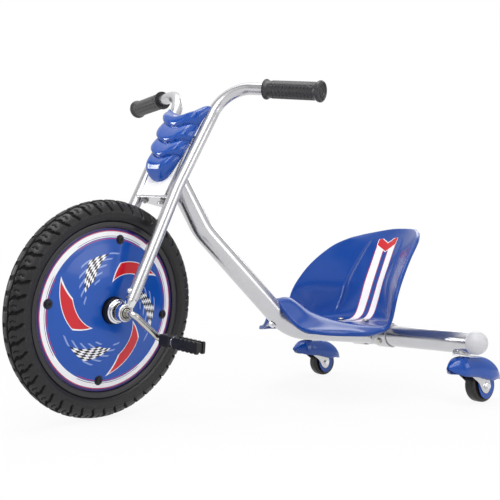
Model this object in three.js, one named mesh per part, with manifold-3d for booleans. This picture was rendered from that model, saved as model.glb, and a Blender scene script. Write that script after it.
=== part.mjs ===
// A drift trike: a big front wheel driven by pedals on its own axle, a bucket seat on one bent
// frame tube, and two swivelling rear wheels. Millimetres, +X forward, +Y to the rider's left, +Z up.
// The sizes are measured from the point on the ground under the front axle, steered straight.
import * as THREE from "three";
import { mergeVertices } from "three/addons/utils/BufferGeometryUtils.js";
import Module from "manifold-3d";

const wasm = await Module();
wasm.setup();

// Fits, and how far a cutting shape runs past what it cuts
const fitGap = 0.3;
const coverEdgeGap = 0.7;
const overrun = 3;

// Numbers of sides
const wheelSides = 36;
const rodSides = 12;
const tubeSides = 16;
const capSteps = 3;
const bendStepAngle = 22.6;
const hoodArchSteps = 6;
const seatRows = 18;
const seatColumns = 8;

// Front tyre, inner tube and rim
const tyreDiameter = 406;
const tyreWidth = 51;
const tyreWall = 4;
const treadDepth = 3;
const treadBlockCount = 48;
const beadThickness = 5;
const beadRadius = 155;
const rimInnerWidth = 29.4;
const rimFlangeHeight = 8;
const rimThickness = 2.5;
const rimWellDepth = 7;
const rimWellWidth = 12;
const rimWellSlope = 3;

// Wheel web, hub and disc covers
const webHalfWidth = 5;
const webHubRadius = 37;
const webArmWidth = 16;
const webBandThickness = 7;
const bossRadius = 12;
const bossHalfWidth = 10.4;
const bossCircleRadius = 131;
const boltCount = 4;
const hubRadius = 25;
const hubHalfLength = 34;
const hubGrooveDepth = 0.8;
const coverInnerFace = 10.7;
const coverThickness = 1.6;
const coverRimWidth = 27;
const coverDomeHeight = 11.5;
const coverHoleClearance = 0.4;
const coverBoltRadius = 3;
const coverBoltHeadRadius = 5.6;
const coverBoltHeadHeight = 3.4;
const hubNutCorner = 23;
const hubNutThickness = 8.4;

// Cranked axle and pedals
const axleRadius = 6;
const crankLength = 84;
const crankBendOut = 84;
const crankArmOut = 77;
const crankCornerRadius = 10;
const spindleEnd = 185;
const crankAngle = 234.4;
const wheelPhase = -6.7;
const sleeveStart = 88;
const sleeveBlockLength = 28;
const sleeveBlockRadius = 10.8;
const sleeveCollarLength = 8;
const sleeveCollarRadius = 10.2;
const sleeveRadius = 8;
const pedalEnd = 190;
const pedalLength = 21;
const pedalThickness = 22;
const pedalToothCount = 6;
const pedalToothShare = 0.7;
const pedalToothDepth = 1.6;
const pedalCornerCut = 4;

// Steering geometry
const rakeAngle = 20.7;
const forkOffset = 46;
const steerAngle = 17.3;

// Fork and handlebar tube, from the bottom of the fork to the end of the bar
const barRadius = 12;
const barWall = 1.6;
const forkFootForward = -6.5;
const forkFootOut = 56;
const forkFootUp = 27;
const forkBendForward = -23;
const forkBendOut = 51.2;
const forkBendUp = 262;
const barCornerForward = -48;
const barCornerOut = 60.4;
const barCornerUp = 495;
const barEndForward = -94.6;
const barEndOut = 272;
const forkBendRadius = 250;
const barCornerRadius = 66;

// Hand grips
const gripLength = 123;
const gripRadius = 16.8;
const gripFlangeRadius = 19.7;
const gripFlangeWidth = 4;
const gripEndRadius = 20.3;
const gripEndWidth = 7;
const barEndInset = 6;

// Crown, steerer and head
const steererRadius = 12;
const steererProud = 3;
const headRadius = 19;
const headWall = 2.5;
const crownPlateUp = 233;
const crownPlateThickness = 5;
const crownSetback = 1;
const crownSteererMargin = 10;
const panelThickness = 3;
const panelHalfWidth = 36;
const panelHeight = 92;
const panelSetback = 2.3;
const panelTabLength = 22;
const crownBoltOut = 27;
const crownBoltBack = 11;
const crownBoltRadius = 3;
const crownBoltHeadRadius = 6.5;
const crownBoltHeadHeight = 4.5;
const cupFlangeThickness = 4.5;
const cupSkirtLength = 9;
const headLength = 120;
const steererCapRadius = 15;
const steererCapHeight = 5;

// Number plate
const plateHalfWidth = 60;
const plateHeight = 173;
const plateFootUp = 268;
const plateDepth = 22;
const plateThickness = 2.4;
const plateLean = 6;
const plateRimShare = 0.5;

// Axle brackets, bearings and bracket bolts
const bracketRingRadius = 16.5;
const bracketHalfWidth = 6.5;
const bracketNeckRadius = 10;
const bracketNeckUp = 60;
const bearingRadius = 12;
const bearingProud = 1;
const bracketBoltUp = 39;
const bracketBoltRadius = 2.5;
const bracketBoltHeadRadius = 5;
const bracketBoltHeadHeight = 4;

// Frame
const frameRadius = 22;
const frameWall = 2;
const upperBendBack = 214;
const upperBendHeight = 358;
const lowerBendBack = 428.7;
const lowerBendHeight = 149.5;
const frameBendRadius = 120;
const frameTopUp = 302;
const barBack = 677;
const barHeight = 126.6;
const crossRadius = 23.5;
const crossWall = 2;
const crossHalfLength = 295;
const endCapRim = 8;
const endCapDome = 22;
const endCapSpigot = 14;

// Saddle sleeve and its bolts
const saddleHalfLength = 64;
const saddleThickness = 3;
const saddleEarOut = 26;
const saddleEarTop = 156.6;
const saddleEarThickness = 4;
const saddleEarMargin = 15;
const saddleBoltOut = 44;
const saddleBoltAngle = -25;
const saddleBoltLength = 12;
const boltRadius = 3;
const boltHeadRadius = 7;
const boltHeadHeight = 4.5;

// Seat
const seatFront = 392;
const seatLength = 349;
const seatBottom = 148;
const seatHeight = 230;
const seatHalfWidth = 188;
const seatThickness = 4;
const seatBoltOut = 44;
const seatBoltShare = 0.63;
const frontBoltInset = 9;
const frontBossRadius = 9;
const frontBossHeight = 36;
const frontBoltDepth = 27;
const seatBoltTop = 162.9;

// Casters
const casterTrack = 533.8;
const swivelLean = 8;
const mountRadius = 15;
const mountFlangeRadius = 18;
const mountTop = 14;
const mountFlangeHeight = 4;
const mountBottom = 26.3;
const kingpinRadius = 5;
const kingpinTop = 19;
const forkWasherThickness = 3;
const forkPlateDrop = 36.5;
const forkPlateHalfWidth = 12;
const forkShoulderDrop = 49;
const forkLegHalfWidth = 19;
const forkLegThickness = 2.5;
const forkFrontReach = 8;
const forkRearReach = 16;
const forkLegEyeRadius = 10.5;
const forkLegLobeShare = 0.95;
const casterTrail = 50.6;
const casterWheelRadius = 34.7;
const casterWheelWidth = 24;
const casterWheelDish = 1.5;
const casterHubRadius = 13;
const casterHubHalfWidth = 13.8;
const casterAxleRadius = 4;
const casterBoltHead = 6.5;
const casterBoltHeadHeight = 4.5;
const hoodFront = 45;
const hoodLength = 155;
const hoodTop = 29.6;
const hoodAxleGap = 10.3;
const hoodHalfWidth = 24;
const hoodWall = 2.2;
const hoodSeatDepth = 3.4;
const hoodArchPower = 0.62;
const cheekThickness = 2;
const cheekLobeRadius = 17.5;
const cheekLobeShare = 1.12;
const cheekGap = 0.4;

// Outlines as shares of the sizes above
// Tyre: distance from the bead towards the tread, and half-width. The tread is on some of them, and
// the inner surface, which is plainer, has points under some of them.
const tyreOutlineShares = [
  [0.23, 0.79], [0.42, 0.98], [0.64, 0.97], [0.84, 0.72], [0.96, 0.34], [1, 0.08],
];
const treadFirst = 2;
const treadLast = 4;
const innerPlaces = [0, 2, 5];
// Number plate, from the notch at the top middle round to the foot: half-width and height
const plateOutlineShares = [
  [0, 0.9], [0.42, 0.935], [1, 1], [0.92, 0.88], [0.84, 0.75], [0.82, 0.63], [0.76, 0.5],
  [0.73, 0.4], [0.62, 0.3], [0.45, 0.15], [0.24, 0.04], [0, 0],
];
// Number plate dome: how far towards the middle, and how far forward
const plateDomeShares = [[0, 0], [0.12, 0.55], [0.3, 0.82], [0.62, 0.97]];
// Hub shell: how far out from the middle, and how deep in its groove
const hubShares = [[0.25, 0], [0.5, 0], [0.525, 1], [0.725, 1], [0.75, 0], [1, 0]];
// Disc cover dome: how far in from the flat ring to the hub, and how far out
const coverDomeShares = [[0, 0], [0.3, 0.42], [0.65, 0.88], [1, 1]];
// Seat rows from the front lip to the top of the back. Each holds the middle of the row, two
// points that shape it, and its edge: back from the lip, out from the middle, and up.
const seatRowShares = [
  [[0.005, 0, 0.293], [0.006, 0.13, 0.3], [0.03, 0.24, 0.02], [0.085, 0.532, 0.017]],
  [[0.11, 0, 0.3], [0.11, 0.15, 0.3], [0.12, 0.27, 0.02], [0.146, 0.665, 0.007]],
  [[0.225, 0, 0.19], [0.225, 0.22, 0.19], [0.235, 0.45, 0.03], [0.252, 0.798, 0.002]],
  [[0.37, 0, 0.068], [0.37, 0.45, 0.068], [0.375, 0.8, 0.075], [0.39, 0.88, 0.002]],
  [[0.52, 0, 0.057], [0.52, 0.5, 0.057], [0.49, 0.88, 0.06], [0.46, 0.91, 0.04]],
  [[0.655, 0, 0.06], [0.655, 0.5, 0.06], [0.56, 0.86, 0.06], [0.482, 0.93, 0.1]],
  [[0.732, 0, 0.11], [0.732, 0.38, 0.11], [0.62, 0.76, 0.125], [0.488, 0.955, 0.19]],
  [[0.784, 0, 0.26], [0.784, 0.32, 0.26], [0.655, 0.68, 0.28], [0.502, 0.972, 0.31]],
  [[0.834, 0, 0.445], [0.834, 0.3, 0.445], [0.66, 0.65, 0.46], [0.555, 0.95, 0.47]],
  [[0.895, 0, 0.655], [0.895, 0.27, 0.655], [0.775, 0.6, 0.66], [0.655, 0.888, 0.66]],
  [[0.952, 0, 0.85], [0.952, 0.22, 0.85], [0.89, 0.52, 0.845], [0.785, 0.778, 0.835]],
  [[0.986, 0, 0.95], [0.986, 0.17, 0.95], [0.96, 0.4, 0.945], [0.884, 0.615, 0.93]],
  [[1, 0, 1], [1, 0.12, 1], [0.996, 0.3, 0.995], [0.955, 0.475, 0.975]],
];
// Hood of a caster from its front tip: back, half-width, drop of the top and of the lower edge
const hoodShares = [
  [0, 0.12, 0.39, 0.47], [0.1, 0.62, 0.16, 0.66], [0.2, 0.97, 0.03, 0.74], [0.33, 1, 0, 0.78],
  [0.46, 1, 0.01, 0.85], [0.58, 1, 0.06, 0.93], [0.71, 0.96, 0.2, 0.95], [0.84, 0.8, 0.43, 1],
  [0.94, 0.5, 0.7, 1.03], [1, 0.12, 0.97, 1.06],
];
// Top of a hood's cheek in side view: back from the swivel and drop, and the same for its foot
const cheekTopShares = [[-0.2, 0.02], [-0.42, 0.02]];

const degree = Math.PI / 180;
const up = new THREE.Vector3(0, 0, 1);
const lateral = new THREE.Vector3(0, 1, 0);

// Sizes that follow from the ones above
const tyreRadius = tyreDiameter / 2;
const rimInnerRadius = beadRadius - rimThickness;
const wellInnerRadius = beadRadius - rimWellDepth - rimThickness;
const coverRadius = rimInnerRadius - coverEdgeGap;
const bandRadius = wellInnerRadius - fitGap;
const casterDrop = barHeight - casterWheelRadius;
const hoodHeight = casterDrop - hoodTop - hoodAxleGap;
const seatBoltBack = seatFront + seatBoltShare * seatLength;
const frontBoltBack = seatFront + frontBoltInset;
const saddleEarRear = Math.max(barBack, seatBoltBack + saddleEarMargin);
const saddleEarFront = Math.min(barBack, seatBoltBack - saddleEarMargin);
const steererBottomUp = crownPlateUp - steererProud;
const lowerCupUp = crownPlateUp + crownPlateThickness + fitGap;
const headUp = lowerCupUp + cupFlangeThickness + fitGap;
const upperCupUp = headUp + headLength + fitGap;
const crownTopUp = upperCupUp + cupFlangeThickness + fitGap;

// Materials
function finish(color, roughness, metalness) {
  return new THREE.MeshStandardMaterial({ color, roughness, metalness });
}
const rubber = finish(0x2d2c31, 0.75, 0);
const darkSteel = finish(0x424147, 0.45, 0.8);
const frameSilver = finish(0xb4b4ba, 0.35, 0.9);
const chrome = finish(0xd8d8dc, 0.12, 1);
const palePlastic = finish(0xd6d5d9, 0.5, 0);
const bluePlastic = finish(0x2d509b, 0.3, 0);
const seatPlastic = finish(0x314088, 0.35, 0);
const blackPlastic = finish(0x232226, 0.55, 0);
const gripRubber = finish(0x625d60, 0.7, 0);

// Turns a geometry's faces outwards and keeps only its positions.
function facingOut(geometry) {
  const plain = new THREE.BufferGeometry();
  plain.setAttribute("position", geometry.getAttribute("position"));
  plain.setIndex(geometry.index);
  const merged = mergeVertices(plain, 1e-4);
  const position = merged.getAttribute("position");
  const index = merged.index.array;
  const [a, b, c] = [new THREE.Vector3(), new THREE.Vector3(), new THREE.Vector3()];
  let volume = 0;
  for (let i = 0; i < index.length; i += 3) {
    a.fromBufferAttribute(position, index[i]);
    b.fromBufferAttribute(position, index[i + 1]);
    c.fromBufferAttribute(position, index[i + 2]);
    volume += a.dot(b.cross(c));
  }
  const kept = [];
  for (let i = 0; i < index.length; i += 3) {
    const [p, q, r] = [index[i], index[i + 1], index[i + 2]];
    if (p !== q && q !== r && r !== p) {
      kept.push(...(volume < 0 ? [p, r, q] : [p, q, r]));
    }
  }
  merged.setIndex(kept);
  return merged;
}

function solidOf(geometry) {
  const closed = facingOut(geometry);
  return new wasm.Manifold(new wasm.Mesh({
    numProp: 3,
    vertProperties: new Float32Array(closed.getAttribute("position").array),
    triVerts: new Uint32Array(closed.index.array),
  }));
}

function geometryOf(solid) {
  const mesh = solid.getMesh();
  const geometry = new THREE.BufferGeometry();
  geometry.setAttribute("position", new THREE.BufferAttribute(mesh.vertProperties, 3));
  geometry.setIndex(new THREE.BufferAttribute(mesh.triVerts, 1));
  return geometry;
}

function join(...geometries) {
  return geometryOf(geometries.map(solidOf).reduce((sum, part) => sum.add(part)));
}

function cut(geometry, ...cutters) {
  return geometryOf(cutters.map(solidOf).reduce((rest, part) => rest.subtract(part), solidOf(geometry)));
}

function common(first, second) {
  return geometryOf(solidOf(first).intersect(solidOf(second)));
}

function moved(geometry, x, y, z) {
  return geometry.clone().translate(x, y, z);
}

// Turns a profile of [radius, height] points round the Y axis.
function lathe(profile, sides = rodSides) {
  const points = profile.map(([radius, height]) => new THREE.Vector2(radius, height));
  return facingOut(new THREE.LatheGeometry(points, sides));
}

function ring(innerRadius, outerRadius, from, to, sides = rodSides) {
  return lathe([
    [innerRadius, from], [outerRadius, from], [outerRadius, to], [innerRadius, to], [innerRadius, from],
  ], sides);
}

function rod(radius, from, to, sides = rodSides) {
  const cylinder = new THREE.CylinderGeometry(radius, radius, to - from, sides);
  return facingOut(cylinder.translate(0, (from + to) / 2, 0));
}

function hexRod(corner, from, to) {
  return rod(corner, from, to, 6);
}

function box(x0, x1, y0, y1, z0, z1) {
  const geometry = new THREE.BoxGeometry(x1 - x0, y1 - y0, z1 - z0);
  return moved(geometry, (x0 + x1) / 2, (y0 + y1) / 2, (z0 + z1) / 2);
}

// Stands a lathed or rod shape up along a direction, with its foot at a point.
function along(geometry, direction, foot = new THREE.Vector3()) {
  const turn = new THREE.Quaternion().setFromUnitVectors(lateral, direction.clone().normalize());
  return geometry.clone().applyQuaternion(turn).translate(foot.x, foot.y, foot.z);
}

// A flat outline in X and Z, from one Y to another.
function prism(outline, from, to) {
  const shape = new THREE.Shape(outline.map(([x, z]) => new THREE.Vector2(x, z)));
  const flat = new THREE.ExtrudeGeometry(shape, { depth: to - from, bevelEnabled: false });
  return facingOut(flat.rotateX(90 * degree).translate(0, to, 0));
}

// A flat outline in X and Y, from one height to another.
function slab(outline, from, to) {
  const shape = new THREE.Shape(outline.map(([x, y]) => new THREE.Vector2(x, y)));
  const flat = new THREE.ExtrudeGeometry(shape, { depth: to - from, bevelEnabled: false });
  return facingOut(flat.translate(0, 0, from));
}

// The outline of a string drawn tight round some circles of [x, y, radius].
function outlineRound(circles) {
  const points = [];
  for (const [x, y, radius] of circles) {
    for (let i = 0; i < tubeSides; i++) {
      const angle = (2 * Math.PI * i) / tubeSides;
      points.push([x + radius * Math.cos(angle), y + radius * Math.sin(angle)]);
    }
  }
  points.sort((p, q) => p[0] - q[0] || p[1] - q[1]);
  const half = (list) => {
    const chain = [];
    for (const p of list) {
      while (chain.length > 1) {
        const [a, b] = chain.slice(-2);
        if ((b[0] - a[0]) * (p[1] - a[1]) - (b[1] - a[1]) * (p[0] - a[0]) > 0) break;
        chain.pop();
      }
      chain.push(p);
    }
    return chain.slice(0, -1);
  };
  return [...half(points), ...half([...points].reverse())];
}

// A path of straight runs with round corners, given as corner points and their radii.
class BentPath extends THREE.Curve {
  constructor(corners, radii) {
    super();
    this.stations = [corners[0].clone()];
    for (let i = 1; i < corners.length - 1; i++) {
      this.addCorner(corners[i - 1], corners[i], corners[i + 1], radii[i - 1]);
    }
    this.stations.push(corners[corners.length - 1].clone());
    this.count = this.stations.length - 1;
  }

  addCorner(before, corner, after, radius) {
    const back = before.clone().sub(corner).normalize();
    const ahead = after.clone().sub(corner).normalize();
    const turn = Math.PI - back.angleTo(ahead);
    const reach = radius * Math.tan(turn / 2);
    const start = corner.clone().addScaledVector(back, reach);
    const middle = back.clone().add(ahead).normalize();
    const centre = corner.clone().addScaledVector(middle, radius / Math.cos(turn / 2));
    const axis = back.clone().negate().cross(ahead).normalize();
    const steps = Math.ceil(turn / (bendStepAngle * degree));
    for (let i = 0; i <= steps; i++) {
      const arm = start.clone().sub(centre).applyAxisAngle(axis, (turn * i) / steps);
      this.stations.push(centre.clone().add(arm));
    }
  }

  getPointAt(share) {
    return this.stations[Math.round(share * this.count)].clone();
  }

  getSpacedPoints() {
    return this.stations.map((point) => point.clone());
  }

  getTangentAt(share) {
    const i = Math.round(share * this.count);
    const to = this.stations[Math.min(i + 1, this.count)].clone().sub(this.stations[i]).normalize();
    const from = this.stations[i].clone().sub(this.stations[Math.max(i - 1, 0)]).normalize();
    return to.add(from).normalize();
  }
}

// A round tube, or with no inner radius a rod, along a path.
function tube(path, outerRadius, innerRadius = 0, sides = tubeSides) {
  const circle = (radius) => {
    const points = [];
    for (let i = 0; i < sides; i++) {
      const angle = (2 * Math.PI * i) / sides;
      points.push(new THREE.Vector2(radius * Math.cos(angle), radius * Math.sin(angle)));
    }
    return points;
  };
  const shape = new THREE.Shape(circle(outerRadius));
  if (innerRadius) shape.holes.push(new THREE.Path(circle(innerRadius)));
  return facingOut(new THREE.ExtrudeGeometry(shape, { steps: path.count, extrudePath: path }));
}

// Closes a list of rings of points, each ring closed on itself, with a flat cap at each end.
function loft(rings) {
  const size = rings[0].length;
  const positions = rings.flat().flatMap((point) => point.toArray());
  const index = [];
  for (let i = 0; i + 1 < rings.length; i++) {
    for (let j = 0; j < size; j++) {
      const [a, b] = [i * size + j, i * size + ((j + 1) % size)];
      index.push(a, b, b + size, a, b + size, a + size);
    }
  }
  const last = (rings.length - 1) * size;
  for (let j = 1; j + 1 < size; j++) {
    index.push(0, j + 1, j, last, last + j, last + j + 1);
  }
  const geometry = new THREE.BufferGeometry();
  geometry.setAttribute("position", new THREE.Float32BufferAttribute(positions, 3));
  geometry.setIndex(index);
  return facingOut(geometry);
}

// A sheet of rows of points, made thick away from its normals.
function shell(rows, thickness) {
  const [height, width] = [rows.length, rows[0].length];
  const at = (i, j) => rows[Math.min(Math.max(i, 0), height - 1)][Math.min(Math.max(j, 0), width - 1)];
  const back = rows.map((row, i) => row.map((point, j) => {
    const down = at(i + 1, j).clone().sub(at(i - 1, j));
    const across = at(i, j + 1).clone().sub(at(i, j - 1));
    return point.clone().addScaledVector(down.cross(across).normalize(), thickness);
  }));
  const positions = [...rows.flat(), ...back.flat()].flatMap((point) => point.toArray());
  const place = (i, j, side) => side * height * width + i * width + j;
  const index = [];
  const face = (a, b, c, d) => index.push(a, b, c, a, c, d);
  for (let i = 0; i + 1 < height; i++) {
    for (let j = 0; j + 1 < width; j++) {
      face(place(i, j, 0), place(i, j + 1, 0), place(i + 1, j + 1, 0), place(i + 1, j, 0));
      face(place(i, j, 1), place(i + 1, j, 1), place(i + 1, j + 1, 1), place(i, j + 1, 1));
    }
    face(place(i, 0, 1), place(i, 0, 0), place(i + 1, 0, 0), place(i + 1, 0, 1));
    face(place(i, width - 1, 0), place(i, width - 1, 1), place(i + 1, width - 1, 1),
      place(i + 1, width - 1, 0));
  }
  for (let j = 0; j + 1 < width; j++) {
    face(place(0, j, 0), place(0, j, 1), place(0, j + 1, 1), place(0, j + 1, 0));
    face(place(height - 1, j, 1), place(height - 1, j, 0), place(height - 1, j + 1, 0),
      place(height - 1, j + 1, 1));
  }
  const geometry = new THREE.BufferGeometry();
  geometry.setAttribute("position", new THREE.Float32BufferAttribute(positions, 3));
  geometry.setIndex(index);
  return facingOut(geometry);
}

function piece(name, geometry, material, parent) {
  const mesh = new THREE.Mesh(geometry, material);
  mesh.name = name;
  parent.add(mesh);
  return mesh;
}

function groupIn(parent, x = 0, y = 0, z = 0) {
  const group = new THREE.Group();
  group.position.set(x, y, z);
  parent.add(group);
  return group;
}

const sides = [["left", 1], ["right", -1]];

// The moving frames: the steered frame has its Z axis on the steering axis, and the axle frame is
// level and has its origin at the wheel's centre.
const trike = new THREE.Group();
const model = groupIn(trike);
const rake = rakeAngle * degree;
const steerFoot = [-forkOffset * Math.cos(rake), 0, tyreRadius - forkOffset * Math.sin(rake)];
const steered = groupIn(model, ...steerFoot);
steered.rotation.order = "YXZ";
steered.rotation.set(0, -rake, steerAngle * degree);
const fork = groupIn(steered, forkOffset, 0, 0);
const axleFrame = groupIn(fork);
axleFrame.rotation.y = rake;
const wheel = groupIn(axleFrame);
wheel.rotation.y = wheelPhase * degree;

// Front wheel
function tyreSection(inset) {
  const middle = beadRadius + (tyreRadius - beadRadius) / 2;
  const side = tyreOutlineShares.map(([rise, width]) => {
    const radius = beadRadius + rise * (tyreRadius - beadRadius);
    const halfWidth = (width * tyreWidth) / 2;
    const length = Math.hypot(radius - middle, halfWidth);
    const keep = (length - inset) / length;
    return [middle + (radius - middle) * keep, halfWidth * keep];
  });
  return [...side, ...side.map(([radius, halfWidth]) => [radius, -halfWidth]).reverse()];
}

function isInnerPlace(point, place) {
  return innerPlaces.includes(place) || innerPlaces.includes(2 * tyreOutlineShares.length - 1 - place);
}

// Lowers the tread at every other step, so that the blocks of one side stand beside the gaps of the
// other. The tyre's section starts with some bead points.
function treadBlocks(geometry, sectionSize, beadPoints) {
  const position = geometry.getAttribute("position");
  const sideSize = tyreOutlineShares.length;
  for (let i = 0; i < position.count; i++) {
    const step = Math.floor(i / sectionSize);
    const place = (i % sectionSize) - beadPoints;
    const sidePlace = Math.min(place, 2 * sideSize - 1 - place);
    const lowStep = place < sideSize ? 1 : 0;
    if (sidePlace >= treadFirst && sidePlace <= treadLast && step % 2 === lowStep) {
      const radius = Math.hypot(position.getX(i), position.getZ(i));
      const keep = (radius - treadDepth) / radius;
      position.setX(i, position.getX(i) * keep);
      position.setZ(i, position.getZ(i) * keep);
    }
  }
  return facingOut(geometry);
}

function frontTyre() {
  const beadHalfWidth = rimInnerWidth / 2 - fitGap;
  const seat = beadRadius + fitGap;
  const flangeTop = beadRadius + rimFlangeHeight;
  const toe = beadHalfWidth - beadThickness;
  const bead = [[seat, beadHalfWidth], [flangeTop, beadHalfWidth]];
  const section = [
    ...bead, ...tyreSection(0), [flangeTop, -beadHalfWidth], [seat, -beadHalfWidth], [seat, -toe],
    ...tyreSection(tyreWall).filter(isInnerPlace).reverse(), [seat, toe], [seat, beadHalfWidth],
  ];
  const points = section.map(([radius, y]) => new THREE.Vector2(radius, y));
  return treadBlocks(new THREE.LatheGeometry(points, 2 * treadBlockCount), section.length, bead.length);
}

// The tube has fewer sides than the tyre, so it keeps a gap from it on both of its own sides.
function innerTube() {
  const section = tyreSection(tyreWall + 2 * fitGap).filter(isInnerPlace);
  return lathe([...section, section[0]], wheelSides);
}

function frontRim() {
  const half = rimInnerWidth / 2;
  const well = rimWellWidth / 2;
  const upper = [
    [beadRadius + rimFlangeHeight, half + rimThickness], [beadRadius + rimFlangeHeight, half],
    [beadRadius, half], [beadRadius, well + rimWellSlope], [beadRadius - rimWellDepth, well],
  ];
  const lower = [
    [wellInnerRadius, well + rimThickness / 2],
    [rimInnerRadius, well + rimWellSlope + rimThickness / 2], [rimInnerRadius, half + rimThickness],
  ];
  const flip = (list) => list.map(([radius, y]) => [radius, -y]).reverse();
  return lathe([...upper, ...flip(upper), ...flip(lower), ...lower, upper[0]], wheelSides);
}

function onBoltCircle(geometry, index, radius) {
  const angle = (2 * Math.PI * index) / boltCount;
  return moved(geometry, radius * Math.sin(angle), 0, radius * Math.cos(angle));
}

function wheelWeb() {
  const hub = rod(webHubRadius, -webHalfWidth, webHalfWidth, tubeSides);
  const band = ring(bandRadius - webBandThickness, bandRadius, -webHalfWidth, webHalfWidth, wheelSides);
  const reach = bandRadius - webBandThickness / 2;
  const half = webArmWidth / 2;
  const parts = [
    band, box(-reach, reach, -webHalfWidth, webHalfWidth, -half, half),
    box(-half, half, -webHalfWidth, webHalfWidth, -reach, reach),
  ];
  const holes = [rod(hubRadius + fitGap, -webHalfWidth - overrun, webHalfWidth + overrun, tubeSides)];
  for (let i = 0; i < boltCount; i++) {
    parts.push(onBoltCircle(rod(bossRadius, -bossHalfWidth, bossHalfWidth), i, bossCircleRadius));
    const hole = rod(coverBoltRadius + fitGap, -bossHalfWidth - overrun, bossHalfWidth + overrun);
    holes.push(onBoltCircle(hole, i, bossCircleRadius));
  }
  return cut(join(hub, ...parts), ...holes);
}

function hubShell() {
  const outside = hubShares.map(([out, depth]) => [
    hubRadius - depth * hubGrooveDepth, out * hubHalfLength,
  ]);
  const side = [...outside, [axleRadius + fitGap, hubHalfLength]];
  const other = side.map(([radius, y]) => [radius, -y]).reverse();
  return lathe([...side, ...other, side[0]], tubeSides);
}

function discCover() {
  const outer = coverInnerFace + coverThickness;
  const holeRadius = hubRadius + coverHoleClearance;
  const ringInner = coverRadius - coverRimWidth;
  const dome = coverDomeShares.map(([inward, rise]) => [
    ringInner + (holeRadius - ringInner) * inward, coverDomeHeight * rise,
  ]);
  const section = [
    [coverRadius, coverInnerFace], [coverRadius, outer],
    ...dome.map(([radius, rise]) => [radius, outer + rise]),
    ...dome.map(([radius, rise]) => [radius, coverInnerFace + rise]).reverse(),
    [coverRadius, coverInnerFace],
  ];
  const holes = [];
  for (let i = 0; i < boltCount; i++) {
    const boltHole = rod(coverBoltRadius + fitGap, coverInnerFace - overrun, outer + overrun);
    holes.push(onBoltCircle(boltHole, i, bossCircleRadius));
  }
  return cut(lathe(section, wheelSides), ...holes);
}

function coverBolt(index) {
  const face = coverInnerFace + coverThickness + fitGap;
  const head = face + coverBoltHeadHeight;
  const inHead = face + coverBoltHeadHeight / 2;
  const bolt = join(rod(coverBoltRadius, -inHead, inHead), rod(coverBoltHeadRadius, face, head),
    rod(coverBoltHeadRadius, -head, -face));
  return onBoltCircle(bolt, index, bossCircleRadius);
}

function hubNut() {
  const from = hubHalfLength + fitGap;
  const nut = hexRod(hubNutCorner, from, from + hubNutThickness);
  return cut(nut, rod(axleRadius + fitGap, from - overrun, from + hubNutThickness + overrun));
}

const crankTurn = (crankAngle - wheelPhase) * degree;

function crankAxle() {
  const half = (sign) => [
    new THREE.Vector3(0, sign * crankBendOut, 0),
    new THREE.Vector3(0, sign * crankArmOut, sign * crankLength),
    new THREE.Vector3(0, sign * spindleEnd, sign * crankLength),
  ];
  const corners = [...half(-1).reverse(), ...half(1)];
  const path = new BentPath(corners, Array(corners.length - 2).fill(crankCornerRadius));
  return tube(path, axleRadius, 0, rodSides).rotateY(crankTurn);
}

piece("front_tyre", frontTyre(), rubber, wheel);
piece("inner_tube", innerTube(), blackPlastic, wheel);
piece("front_rim", frontRim(), darkSteel, wheel);
piece("wheel_web", wheelWeb(), darkSteel, wheel);
piece("hub_shell", hubShell(), blackPlastic, wheel);
for (let i = 0; i < boltCount; i++) {
  piece("cover_bolt_" + (i + 1), coverBolt(i), darkSteel, wheel);
}
piece("crank_axle", crankAxle(), chrome, wheel);
for (const [side, sign] of sides) {
  const cover = piece("disc_cover_" + side, discCover(), bluePlastic, wheel);
  cover.scale.y = sign;
  const nut = piece("hub_nut_" + side, hubNut(), chrome, wheel);
  nut.scale.y = sign;
}

// Pedals, each level on its crank end
function pedalSleeve() {
  const block = sleeveStart + sleeveBlockLength;
  const collar = block + sleeveCollarLength;
  return lathe([
    [axleRadius + fitGap, sleeveStart], [sleeveBlockRadius, sleeveStart], [sleeveBlockRadius, block],
    [sleeveCollarRadius, block], [sleeveCollarRadius, collar], [sleeveRadius, collar],
    [sleeveRadius, pedalEnd], [axleRadius + fitGap, pedalEnd], [axleRadius + fitGap, sleeveStart],
  ]);
}

function pedalGrip() {
  const start = sleeveStart + sleeveBlockLength + sleeveCollarLength + fitGap;
  const pitch = (pedalEnd - start) / pedalToothCount;
  const top = pedalThickness / 2;
  const edge = [];
  for (let i = 0; i < pedalToothCount; i++) {
    edge.push([start + i * pitch, top - pedalToothDepth], [start + (i + pedalToothShare) * pitch, top]);
  }
  edge.push([pedalEnd, top - pedalToothDepth]);
  const outline = [...edge, ...edge.map(([y, z]) => [y, -z]).reverse()];
  const across = prism(outline, -pedalLength / 2, pedalLength / 2).rotateZ(90 * degree);
  const half = pedalLength / 2;
  const plan = [
    [-half, start - overrun], [half, start - overrun], [half, pedalEnd - pedalCornerCut],
    [half - pedalCornerCut, pedalEnd + overrun], [pedalCornerCut - half, pedalEnd + overrun],
    [-half, pedalEnd - pedalCornerCut],
  ];
  const kept = common(across.scale(-1, 1, 1), slab(plan, -pedalThickness, pedalThickness));
  return cut(kept, rod(sleeveRadius + fitGap, start - overrun, pedalEnd + overrun));
}

for (const [side, sign] of sides) {
  const reach = sign * crankLength;
  const turn = crankAngle * degree;
  const pedal = groupIn(axleFrame, reach * Math.sin(turn), 0, reach * Math.cos(turn));
  pedal.scale.y = sign;
  piece("pedal_sleeve_" + side, pedalSleeve(), blackPlastic, pedal);
  piece("pedal_grip_" + side, pedalGrip(), blackPlastic, pedal);
}

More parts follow.
